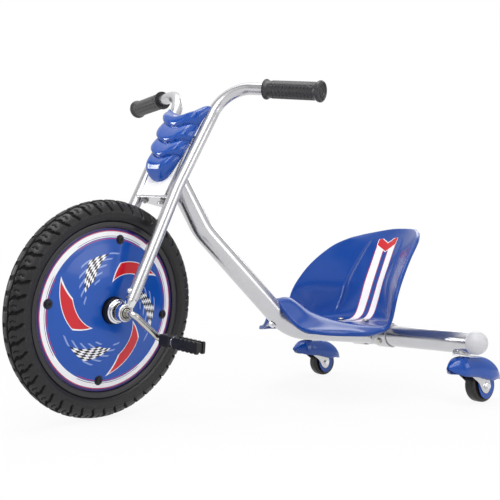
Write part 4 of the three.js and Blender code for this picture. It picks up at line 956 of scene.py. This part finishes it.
axle_eye = at_foot(12.2, 16.5, 6.5, 1.6)
races = at_foot(9.9, 12.1, 7.4, 0.5) + at_foot(6.1, 8.0, 8.4, 0.5)
seal = at_foot(7.9, 10.0, 6.6, 0.4)
for side, sign in SIDES:
    tubing = fork_tubing().on(sign).turned(fork_frame)
    sleeve, flange, end = [form.along(bar_direction, BAR_END).on(sign)
                           for form in (grip_sleeve(), grip_flange(), grip_end())]
    piece("front_fork", upright_place, "fork_tubing_" + side, tubing, silver, "silver_paint", "fork_tube_" + side,
          bevel=0.9)
    piece("front_fork", upright_place, "grip_sleeve_" + side, sleeve.turned(fork_frame), grip_rubber,
          "grip_rubber", "grip_" + side, crease=50)
    on_fork("grip_flange_" + side, flange, black_plastic, "grip_rubber")
    on_fork("grip_end_" + side, end, grip_rubber, "grip_rubber")
    on_fork("axle_eye_" + side, axle_eye.on(sign), chrome, "silver_paint", "axle_bracket_" + side)
    on_fork("axle_neck_" + side, neck().on(sign), chrome, "silver_paint")
    on_fork("bearing_races_" + side, races.on(sign), satin_steel, "bearing_steel", "axle_bearing_" + side)
    on_fork("bearing_seal_" + side, seal.on(sign), dark_seal, "bearing_steel")
    on_fork("clamp_bolt_" + side, clamp_bolt().on(sign), chrome, "bright_steel", "bracket_bolt_" + side)


def tube_at(height):
    """Where the middle line of the left fork tube is at a height."""
    direction = leg_direction if height < FORK_BEND.z else upper_direction
    return FORK_BEND + direction * (height - FORK_BEND.z) / direction.z


def crown(low):
    """A plate that joins the two fork tubes to the steerer."""
    place = tube_at(low)
    outline = taut_outline([(place.x, place.y, BAR_RADIUS - 1), (place.x, -place.y, BAR_RADIUS - 1),
                            (-FORK_OFFSET, 0, STEERER_RADIUS + 10)])
    return slab(outline, low, low + CROWN_THICKNESS)


panel_foot = CROWN_UP + CROWN_THICKNESS + FIT_GAP
panel_slope = upper_direction.x / upper_direction.z
panel_forward = FORK_BEND.x + BAR_RADIUS - 2.3 + (panel_foot - FORK_BEND.z) * panel_slope


def panel_face():
    top = panel_foot + PANEL_HEIGHT
    ahead = panel_forward + PANEL_HEIGHT * panel_slope
    return prism([(panel_forward - PANEL_THICKNESS, panel_foot), (panel_forward, panel_foot), (ahead, top),
                  (ahead - PANEL_THICKNESS, top)], -PANEL_HALF_WIDTH, PANEL_HALF_WIDTH)


def panel_tabs():
    return joined(block(panel_forward - 22, panel_forward - 1, y0, y1, panel_foot, panel_foot + PANEL_THICKNESS)
                  for y0, y1 in ((19, PANEL_HALF_WIDTH), (-PANEL_HALF_WIDTH, -19)))


def crown_bolt(sign):
    above = CROWN_THICKNESS + 2 * FIT_GAP + PANEL_THICKNESS
    bolt = (washed_head(6.5, -0.9, -5.2, 0.6, (3.1, 7.4, -0.9, -0.1, 0.2)) + post(3, -8, above + 6, 0.5)
            + hex_head(6.5, above + 0.6, above + 4.8, 0.6))
    return bolt.along(UP, (panel_forward - 11, sign * 27, CROWN_UP))


def steerer():
    cap = CROWN_TOP_UP + CROWN_THICKNESS + FIT_GAP
    radius = STEERER_RADIUS
    profile = [(CENTRE, CROWN_UP - 3), (radius, CROWN_UP - 3), (radius, cap), (radius + 3, cap),
               (radius + 3, cap + 2.6), (radius + 0.4, cap + 5), (CENTRE, cap + 5)]
    return turning(profile, 0.8).along(UP, (-FORK_OFFSET, 0, 0))


def plate():
    """The front plate: a domed shell in bulging folds that sag in the middle, with a notched top."""
    rows, columns = 180, 80
    heights = [0, 0.005, 0.015, 0.04, 0.08, 0.15, 0.3, 0.4, 0.5, 0.63, 0.75, 0.88, 1]
    widths = [0.03, 0.13, 0.23, 0.35, 0.45, 0.54, 0.66, 0.73, 0.77, 0.82, 0.85, 0.92, 1]
    shape = curve_through(list(zip(heights, widths)), 16)
    dome = curve_through([(0, 0), (0.05, 0.3), (0.12, 0.52), (0.3, 0.8), (0.62, 0.97), (1, 1)], 12)
    folds = [-0.2, 0.25, 0.45, 0.67, 1.04]
    grid = []
    for i in range(rows + 1):
        share = (i / rows) ** 1.2
        width = float(np.interp(share, shape[:, 0], shape[:, 1])) * PLATE_HALF_WIDTH
        swell = math.sin(min(1.0, share / 0.2) * math.pi / 2) ** 0.6
        crest = 1 - 0.6 * float(smoothstep(share, 0.84, 1.0))
        row = []
        for j in range(columns + 1):
            v = math.sin((j / columns - 0.5) * math.pi)
            height = share * (1 - 0.15 * (1 - abs(v) ** 1.3) * share ** 3)
            bulge = float(np.interp(1 - v * v, dome[:, 0], dome[:, 1]))
            line = height - 0.1 * v * v + 0.03 * v
            index = max(k for k in range(len(folds) - 1) if line >= folds[k])
            along = min((line - folds[index]) / (folds[index + 1] - folds[index]), 1.0)
            fold = math.sin(math.pi * along ** 0.54) ** 0.75 if index else 1.0 - along ** 5
            forward = (PLATE_DEPTH * bulge * swell * crest - 3
                       + FOLD_DEPTH * fold * swell * min(1.0, 0.35 + 3 * bulge))
            row.append((forward, v * (width - 2.6 + 2.6 * fold), height * PLATE_HEIGHT))
        grid.append(np.array(row))
    return sheet_of(grid)


plate_forward = tube_at(PLATE_FOOT_UP).x + BAR_RADIUS / upper_direction.z + FIT_GAP
on_fork("crown_low", crown(CROWN_UP), silver, "silver_paint", "crown_lower", bevel=0.8)
on_fork("crown_top", crown(CROWN_TOP_UP), silver, "silver_paint", "crown_upper", bevel=0.8)
on_fork("front_panel", panel_face(), panel_white, "panel_white", "crown_panel", bevel=0.9)
on_fork("front_panel_tabs", panel_tabs(), panel_white, "panel_white", bevel=0.7)
for side, sign in SIDES:
    on_fork("crown_screw_" + side, crown_bolt(sign), dull_steel, "bright_steel", "crown_bolt_" + side)
on_fork("steering_stem", steerer(), silver, "silver_paint", "steerer")
piece("front_fork", fork_frame @ shift(plate_forward, 0, PLATE_FOOT_UP) @ turn_y(-PLATE_LEAN), "front_plate",
      plate(), gloss_blue, "plate_blue", "number_plate", thickness=PLATE_WALL, crease=60)


# Head tube, main tube, crossbar and saddle
def cup(foot, direction):
    profile = [(12.4, 0), (17.4, 0), (19.2, 0.8), (19.4, 3.4), (18.4, 4.5), (16.2, 4.5), (16.2, 13.5), (12.4, 13.5)]
    rows = [(r, y * direction) for r, y in profile]
    return turning(rows, 0.5, closed=True).along(UP, (0, 0, foot))


head_end = HEAD_UP + HEAD_LENGTH
on_head("head_sleeve", collar(16.4, HEAD_RADIUS, HEAD_UP, head_end, 1.2).along(UP), silver, "silver_paint",
        "head_tube")
on_head("cup_low", cup(CROWN_UP + CROWN_THICKNESS + FIT_GAP, 1), chrome, "cup_chrome", "bearing_cup_lower")
on_head("cup_high", cup(head_end + FIT_GAP + CUP_FLANGE, -1), chrome, "cup_chrome", "bearing_cup_upper")

frame_top = steer_foot + head_axis * FRAME_TOP_UP
cross_centre = Vector((-BAR_BACK, 0, BAR_HEIGHT))
frame_line = bent_line([frame_top, *FRAME_BENDS, cross_centre], [FRAME_BEND_RADIUS] * 2, 2.0)


def weld(centre, bend, reach, radius):
    """A rippled weld round the main tube's end; reach says how far along the tube each point is."""
    run = (bend - centre).normalized()
    other = run.cross(ACROSS).normalized()
    loop = []
    for k in range(WELD_STEPS):
        angle = 2 * math.pi * k / WELD_STEPS
        offset = (ACROSS * math.cos(angle) + other * math.sin(angle)) * FRAME_RADIUS
        loop.append(centre + offset + run * reach(run, offset, FRAME_RADIUS * math.sin(angle)))
    radii = [radius * (1 + 0.12 * math.sin(i * 1.9)) for i in range(WELD_STEPS)]
    return sweep(loop, radii, 12, closed=True)


def head_reach(run, offset, height):
    lateral = min(abs(offset.y), HEAD_RADIUS - 0.2)
    outward = run - head_axis * run.dot(head_axis)
    beside = offset - head_axis * offset.dot(head_axis)
    beside.y = 0
    ahead = Vector((outward.x, 0, outward.z)).normalized()
    return (math.sqrt(HEAD_RADIUS ** 2 - lateral ** 2) - beside.dot(ahead)) / outward.length


def cross_reach(run, offset, height):
    return math.sqrt(max(CROSS_RADIUS ** 2 - height ** 2, 1))


on_frame("main_tubing", sweep(frame_line, FRAME_RADIUS, 72), silver, "silver_paint", "main_tube")
on_frame("head_weld", weld(frame_top, FRAME_BENDS[0], head_reach, 1.9), silver, "silver_paint")
on_frame("cross_weld", weld(cross_centre, FRAME_BENDS[1], cross_reach, 1.6), silver, "silver_paint")
on_cross("rear_bar", post(CROSS_RADIUS, -CROSS_HALF_LENGTH, CROSS_HALF_LENGTH, 0.6, 96), silver, "silver_paint",
         "crossbar")


def end_cap():
    """A plug with a short rim and a round end."""
    start = CROSS_HALF_LENGTH + FIT_GAP
    rows = [(CENTRE, start - 14), (20.8, start - 14), (21.2, start), (23.3, start), (PLUG_RADIUS, start + 0.5),
            (PLUG_RADIUS, start + 8)]
    for k in range(1, 19):
        angle = k / 18 * math.pi / 2
        rows.append((max(PLUG_RADIUS * math.cos(angle), CENTRE), start + 8 + PLUG_DOME * math.sin(angle)))
    return lathe(rows, 96)


def saddle():
    """The clamp round the crossbar that carries the seat: two half sleeves, each with an ear."""
    top = SADDLE_TOP - BAR_HEIGHT
    spans = ((SADDLE_GAP, SADDLE_HALF_LENGTH), (-SADDLE_HALF_LENGTH, -SADDLE_GAP))
    sleeves = joined(collar(CROSS_RADIUS + 0.25, CROSS_RADIUS + 3.3, y0, y1, 1.2) for y0, y1 in spans)
    ears = joined(block(-4, EAR_REACH, y0, y1, top - EAR_THICKNESS, top)
                  + block(-5, 5, y0, y1, CROSS_RADIUS - 1, top - 0.5) for y0, y1 in spans)
    return sleeves, ears


def saddle_bolt(sign):
    angle = math.radians(-25)
    face = CROSS_RADIUS + 3.6
    bolt = washed_head(7, face + 1.2, face + 4.6, 0.7, (3.1, 8, face - 0.2, face + 1.2, 0.4))
    return bolt.along((math.cos(angle), 0, math.sin(angle)), (0, sign * SEAT_BOLT_OUT, 0))


for side, sign in SIDES:
    on_cross("bar_plug_" + side, end_cap().on(sign), cap_plastic, "cap_plastic", "end_cap_" + side)
    on_cross("saddle_screw_" + side, saddle_bolt(sign), satin_steel, "bolt_black", "saddle_bolt_" + side)
saddle_sleeves, saddle_ears = saddle()
on_cross("saddle_sleeves", saddle_sleeves, silver, "silver_paint", "bar_saddle")
on_cross("saddle_ears", saddle_ears, silver, "silver_paint", bevel=1.2)


# Seat. Each row is four points of half a section, as shares of the seat's length, half width and height
SEAT_ROW_SHARES = [
    [[0.005, 0, 0.293], [0.006, 0.13, 0.3], [0.03, 0.24, 0.02], [0.085, 0.532, 0.017]],
    [[0.11, 0, 0.3], [0.11, 0.15, 0.3], [0.12, 0.27, 0.02], [0.146, 0.665, 0.007]],
    [[0.225, 0, 0.19], [0.225, 0.22, 0.19], [0.235, 0.45, 0.03], [0.252, 0.798, 0.002]],
    [[0.37, 0, 0.068], [0.37, 0.45, 0.068], [0.375, 0.8, 0.075], [0.39, 0.88, 0.002]],
    [[0.52, 0, 0.057], [0.52, 0.5, 0.057], [0.49, 0.88, 0.06], [0.46, 0.91, 0.04]],
    [[0.655, 0, 0.06], [0.655, 0.5, 0.06], [0.56, 0.86, 0.06], [0.482, 0.93, 0.1]],
    [[0.732, 0, 0.11], [0.732, 0.38, 0.11], [0.62, 0.76, 0.125], [0.488, 0.955, 0.19]],
    [[0.784, 0, 0.26], [0.784, 0.32, 0.26], [0.655, 0.68, 0.28], [0.502, 0.972, 0.31]],
    [[0.834, 0, 0.445], [0.834, 0.3, 0.445], [0.66, 0.65, 0.46], [0.555, 0.95, 0.47]],
    [[0.895, 0, 0.655], [0.895, 0.27, 0.655], [0.775, 0.6, 0.66], [0.655, 0.888, 0.66]],
    [[0.952, 0, 0.85], [0.952, 0.22, 0.85], [0.89, 0.52, 0.845], [0.785, 0.778, 0.835]],
    [[0.986, 0, 0.95], [0.986, 0.17, 0.95], [0.96, 0.4, 0.945], [0.884, 0.615, 0.93]],
    [[1, 0, 1], [1, 0.12, 1], [0.996, 0.3, 0.995], [0.955, 0.475, 0.975]],
]


def seat_grid(columns=48, steps=7):
    rows = np.array(SEAT_ROW_SHARES, float).reshape(len(SEAT_ROW_SHARES), 12)
    fine = curve_through(rows, steps).reshape(-1, 4, 3)
    size = np.array([-SEAT_LENGTH, SEAT_HALF_WIDTH, SEAT_HEIGHT])
    start = np.array([-SEAT_FRONT, 0, SEAT_BOTTOM])
    t = np.linspace(0, 1, columns + 1)[:, None]
    grid = []
    for p0, p1, p2, p3 in fine * size + start:
        half = (1 - t) ** 3 * p0 + 3 * t * (1 - t) ** 2 * p1 + 3 * t * t * (1 - t) * p2 + t ** 3 * p3
        grid.append(np.vstack([(half[1:] * (1, -1, 1))[::-1], half]))
    return np.array(grid)


def unit(vectors):
    return vectors / np.linalg.norm(vectors, axis=-1, keepdims=True)


def seat_skin():
    """The seat's sheet, with a raised crease down each side of the back and a rolled-over edge."""
    grid = seat_grid()
    normal = unit(np.cross(np.gradient(grid, axis=1), np.gradient(grid, axis=0)))
    height, width = grid.shape[:2]
    row = np.linspace(0, 1, height)[:, None]
    column = np.abs(np.linspace(-1, 1, width))[None, :]
    crease = np.exp(-((column - CREASE_OUT) / CREASE_WIDTH) ** 2) * band(row, 0.5, 0.56, 0.82, 0.9)
    grid = grid + normal * crease[..., None] * CREASE_HEIGHT
    ring = [(0, j) for j in range(width)] + [(i, width - 1) for i in range(1, height)]
    ring += [(height - 1, j) for j in range(width - 2, -1, -1)] + [(i, 0) for i in range(height - 2, 0, -1)]
    edge = np.array([grid[place] for place in ring])
    edge_normal = np.array([normal[place] for place in ring])
    run = np.roll(edge, -1, 0) - np.roll(edge, 1, 0)
    eased = lambda values: (np.roll(values, 1, 0) + values + np.roll(values, -1, 0)) / 3
    for _ in range(3):
        run, edge_normal = eased(run), eased(edge_normal)
    outward = unit(np.cross(run, edge_normal))
    if ((edge - edge.mean(0)) * outward).sum() < 0:
        outward = -outward
    rings = [edge]
    for k in range(1, 8):
        angle = k / 7 * math.radians(95)
        rings.append(edge + outward * SEAT_EDGE_RADIUS * math.sin(angle)
                     - edge_normal * SEAT_EDGE_RADIUS * (1 - math.cos(angle)))
    rings.append(rings[-1] - edge_normal * SEAT_LIP)
    return sheet_of(list(grid)) + bridge(rings, capped=False)


def seat_screw(sign):
    top = SEAT_BOLT_TOP
    head = lathe([(CENTRE, top), (8, top), (8.2, top + 0.6), (7.2, top + 2.4), (4.6, top + 3.8),
                  (CENTRE, top + 4.2)], 64)
    nut = hex_head(7, SADDLE_TOP - 4.3, SADDLE_TOP - 8.4, 0.7) + post(3, SADDLE_TOP - 12, top + 1, 0.4)
    return (head + nut).along(UP, (-SEAT_BOLT_BACK, sign * SEAT_BOLT_OUT, 0))


run_direction = (FRAME_BENDS[1] - FRAME_BENDS[0]).normalized()
front_bolt_axis = Vector((run_direction.z, 0, -run_direction.x))
front_bolt_place = FRAME_BENDS[0] + run_direction * ((FRONT_BOLT_BACK + FRAME_BENDS[0].x) / -run_direction.x)


def front_screw():
    face = -FRAME_RADIUS - FIT_GAP
    bolt = (washed_head(7, face - 1.2, face - 5.6, 0.8, (3.2, 8.4, face - 1.2, face + 0.1, 0.4))
            + post(3, face - 2, 45, 0.4))
    return bolt.along(front_bolt_axis, front_bolt_place)


def front_boss():
    """The foot under the front of the seat, which stands on the main tube."""
    body = turning([(CENTRE, 0), (11.5, 0), (9.4, 6), (9, 30), (CENTRE, 30)], 2, 4, 64)
    return body.along(front_bolt_axis, front_bolt_place + front_bolt_axis * (FRAME_RADIUS - 2))


on_frame("seat_shell", seat_skin(), seat_paint, "seat_blue", "seat", crease=60, thickness=SEAT_WALL,
         behind=seat_plain)
for side, sign in SIDES:
    on_frame("seat_screw_" + side, seat_screw(sign), dull_steel, "bright_steel", "seat_bolt_" + side)
on_frame("seat_front_screw", front_screw(), chrome, "bright_steel", "seat_front_bolt")
on_frame("seat_boss", front_boss(), seat_plain, "seat_blue")


# Casters. Each row of the hood is how far back it is, and its width, top and lower edge, as shares
HOOD_SHARES = [
    [0, 0.12, 0.39, 0.47], [0.1, 0.62, 0.16, 0.66], [0.2, 0.97, 0.03, 0.74], [0.33, 1, 0, 0.78],
    [0.46, 1, 0.01, 0.83], [0.58, 1, 0.04, 0.92], [0.71, 0.96, 0.14, 1], [0.84, 0.8, 0.37, 0.96],
    [0.94, 0.5, 0.67, 1.02], [1, 0.12, 0.97, 1.06],
]
LOBE = [(24, 30), (23, 12), (21, 0), (18, -12), (12, -21.5), (3, -26.5), (-7, -26), (-16, -20), (-22, -10), (-24, 2),
        (-24, 30)]
LEG = [(59, 54), (58.6, 36), (41, 20), (31, 13), (22.5, 6), (17, -3), (11.5, -11), (3, -15.5), (-4, -13.5), (-9, -7),
       (-10.8, 1), (-9.5, 10), (2, 30), (34, 54)]


def hood():
    """The caster's cover: an arched shell with a point at each end and a wavy lower edge."""
    arch = 40
    swell = lambda value: math.copysign(abs(value) ** 0.62, value)
    rows = []
    for back, width, top, bottom in curve_through(HOOD_SHARES, 6):
        x = HOOD_FRONT - back * HOOD_LENGTH
        half = max(width, 0.03) * HOOD_HALF_WIDTH
        crest = -HOOD_TOP - top * HOOD_HEIGHT
        foot = -HOOD_TOP - bottom * HOOD_HEIGHT
        angles = [math.pi * k / arch for k in range(arch + 1)]
        rows.append(np.array([(x, half * swell(math.cos(angle)),
                               foot + (crest - foot) * swell(max(math.sin(angle), 0))) for angle in angles]))
    return sheet_of(rows)


def beside_wheel(outline, inner, outer):
    """A plate on each side of the caster's wheel, with its outline drawn round the axle."""
    points = [(x - CASTER_TRAIL, z - CASTER_DROP) for x, z in curve_through(outline, 5)]
    return prism(points, inner, outer) + prism(points, -outer, -inner)


def caster_bow():
    """The bridge over the wheel that joins the two legs."""
    outer = [(-19, -56), (-19, -49), (-12, -36.5), (12, -36.5), (19, -49), (19, -56)]
    inner = [(-16.5, -56), (-16.5, -50.2), (-10.8, -39), (10.8, -39), (16.5, -50.2), (16.5, -56)]
    return prism(outer + inner[::-1], -24, 8).swapped()


def leaned(form):
    """Stands a turned piece on the swivel's axis, which leans back."""
    return form.along(UP).spun("Y", -SWIVEL_LEAN)


def caster_cup():
    """The swivel's upper cup, with its ball ring."""
    return leaned(turning([(CENTRE, -26.3), (15.6, -26.3), (18.2, -25.2), (18.2, -22.6), (15.2, -21.4), (15, -14),
                           (CENTRE, -14)], 0.7, 4))


def caster_washer():
    """The washer on top of the fork, and the kingpin."""
    washer = turning([(5.2, -29.6), (17.4, -29.6), (17.8, -28.6), (17.2, -26.6), (5.2, -26.6)], 0.6)
    return leaned(washer) + leaned(post(5, -38, -20, 0.4))


def caster_wheel():
    side = [(34.7, 0), (34.7, 4), (34.3, 8.2), (32.6, 10.8), (29.4, 11.9), (26, 11.4), (24.4, 10.4), (22.8, 10.2),
            (15.4, 10.2), (13.6, 10.6), (13, 11.2)]
    rows = curve_through(side, 4)
    skin = np.vstack([(rows * (1, -1))[::-1][:-1], rows])
    return lathe([(4.4, -11.2)] + [tuple(p) for p in skin] + [(4.4, 11.2)], 120, closed=True)


def caster_bolt():
    return (hex_head(6.4, 20.4, 24.2, 0.7) + collar(4.1, 7.4, 19.1, 20.4, 0.3, 64)).doubled() + post(4, -21, 21, 0.3)


for side, sign in SIDES:
    place = model @ shift(-BAR_BACK, sign * CASTER_TRACK / 2, BAR_HEIGHT)
    wheel_place = place @ shift(-CASTER_TRAIL, 0, -CASTER_DROP)
    body, wheel = "caster_" + side, "caster_wheel_" + side
    on_caster = partial(piece, body, place)
    piece("frame", place, "caster_cup_" + side, caster_cup(), silver, "cup_chrome", "caster_mount_" + side)
    on_caster("caster_washer_" + side, caster_washer(), panel_white, "silver_paint")
    on_caster("caster_bow_" + side, caster_bow(), silver, "silver_paint", "caster_fork_" + side, bevel=0.8)
    on_caster("caster_legs_" + side, beside_wheel(LEG, 16.5, 19), silver, "silver_paint", bevel=0.8)
    on_caster("caster_hood_" + side, hood(), hood_blue, "hood_blue", "caster_cover_" + side, crease=60,
              thickness=HOOD_WALL)
    on_caster("caster_cheeks_" + side, beside_wheel(LOBE, 14.2, 16.2), hood_blue, "hood_blue", bevel=0.6)
    piece(body, wheel_place, "caster_bolt_" + side, caster_bolt(), chrome, "bright_steel", "caster_axle_" + side)
    piece(wheel, wheel_place, "caster_tyre_" + side, caster_wheel(), wheel_rubber, "caster_rubber", wheel)
    piece(wheel, wheel_place, "caster_hub_" + side, collar(4.3, 9.5, -13.8, 13.8, 0.6, 64), black_plastic,
          "caster_rubber")


# Camera, light and floor
def camera():
    """Stands where the photograph was taken from."""
    yaw, pitch, roll = [math.radians(angle) for angle in CAMERA_ANGLES]
    ahead = Vector((math.cos(pitch) * math.cos(yaw), math.cos(pitch) * math.sin(yaw), math.sin(pitch)))
    right = ahead.cross(UP).normalized()
    above = right.cross(ahead)
    turned_right = right * math.cos(roll) + above * math.sin(roll)
    turned_up = above * math.cos(roll) - right * math.sin(roll)
    data = bpy.data.cameras.new("camera")
    data.sensor_width = 36
    data.lens = CAMERA_LENS
    data.clip_start, data.clip_end = 0.05, 60
    columns = Matrix((turned_right, turned_up, -ahead)).transposed().to_4x4()
    bpy.context.scene.camera = put("camera", data, Matrix.Translation(CAMERA_PLACE) @ columns)


def lamp(name, place, target, width, height, power):
    data = bpy.data.lights.new(name, "AREA")
    data.shape = "RECTANGLE"
    data.size, data.size_y = width, height
    data.energy = power
    aim = (Vector(target) - Vector(place)).to_track_quat("-Z", "Y")
    put(name, data, Matrix.Translation(place) @ aim.to_matrix().to_4x4())


def studio():
    """A white room with soft lamps. Polished pieces see it with two darker strips beside the camera."""
    world = bpy.data.worlds.new("studio")
    bpy.context.scene.world = world
    world.use_nodes = True
    world.node_tree.nodes.clear()
    room = Nodes(world.node_tree)
    x, y, z = room.split(room.node("ShaderNodeTexCoord", {}, {}, "Generated"))
    light = 0.55 + z.above(0.3, 0.5) * 0.45 + z.above(0.86, 0.08) * 1.2
    for across, up, low, high, dark in ((0.05, 1.0, -0.12, 0.03, 0.75), (0.93, 0.37, 0.34, 0.52, 0.7)):
        strip = (x * across + y * up).within(low, high, 0.05)
        light = light * (1 - strip * dark)
    plain = room.node("ShaderNodeBackground", {}, {1: 0.68})
    polished = room.node("ShaderNodeBackground", {}, {0: PURE_WHITE, 1: light})
    white = room.node("ShaderNodeBackground", {}, {0: PURE_WHITE, 1: 1.0})
    indirect = room.node("ShaderNodeMixShader", {}, {0: room.ray("Is Glossy Ray"), 1: plain, 2: polished})
    direct = room.ray("Is Camera Ray").larger(room.ray("Is Transmission Ray"))
    whole = room.node("ShaderNodeMixShader", {}, {0: direct, 1: indirect, 2: white})
    room.node("ShaderNodeOutputWorld", {}, {0: whole}, None)
    bpy.context.scene.view_settings.view_transform = "Standard"
    lamp("key", (1.5, 2.4, 2.6), (0, 0, 0.2), 2.2, 2.2, 50)
    lamp("front", (2.3, -1.5, 1.1), (0.2, 0, 0.4), 0.5, 1.1, 22)
    lamp("rear", (-2.4, -1.4, 2.2), (-0.2, 0, 0.2), 1.6, 1.6, 20)
    lamp("top", (0.3, 0.5, 3.0), (0, 0, 0.3), 1.5, 1.5, 28)
    lamp("low", (-1.6, 2.4, 0.7), (-0.3, 0, 0.15), 1.4, 0.8, 8)


def floor():
    """A pale floor that shows the object's shadow and runs into the white background."""
    half = 40.0
    mesh = bpy.data.meshes.new("floor")
    mesh.from_pydata([(-half, -half, 0), (half, -half, 0), (half, half, 0), (-half, half, 0)], [], [(0, 1, 2, 3)])
    paint = Paint("floor", (0.8, 0.8, 0.81), 0.8, specular=0.1)
    paint.worn(0.01, 400, 0.02)
    direct = paint.ray("Is Camera Ray").larger(paint.ray("Is Transmission Ray")).larger(paint.ray("Is Glossy Ray"))
    glow = paint.node("ShaderNodeEmission", {}, {0: PURE_WHITE, 1: 1.0})
    x, y, _ = paint.split(paint.place())
    share = 0.9 + (x * x + y * y).root().above(1.6, 1.0) * 0.1
    body = Value(paint, paint.shader.outputs[0])
    mixed = paint.node("ShaderNodeMixShader", {}, {0: direct * share, 1: body, 2: glow})
    paint.tree.links.new(mixed.socket, paint.tree.nodes["Material Output"].inputs[0])
    mesh.materials.append(paint.material)
    put("floor", mesh, shift(0, 0, -0.8))


camera()
studio()
floor()
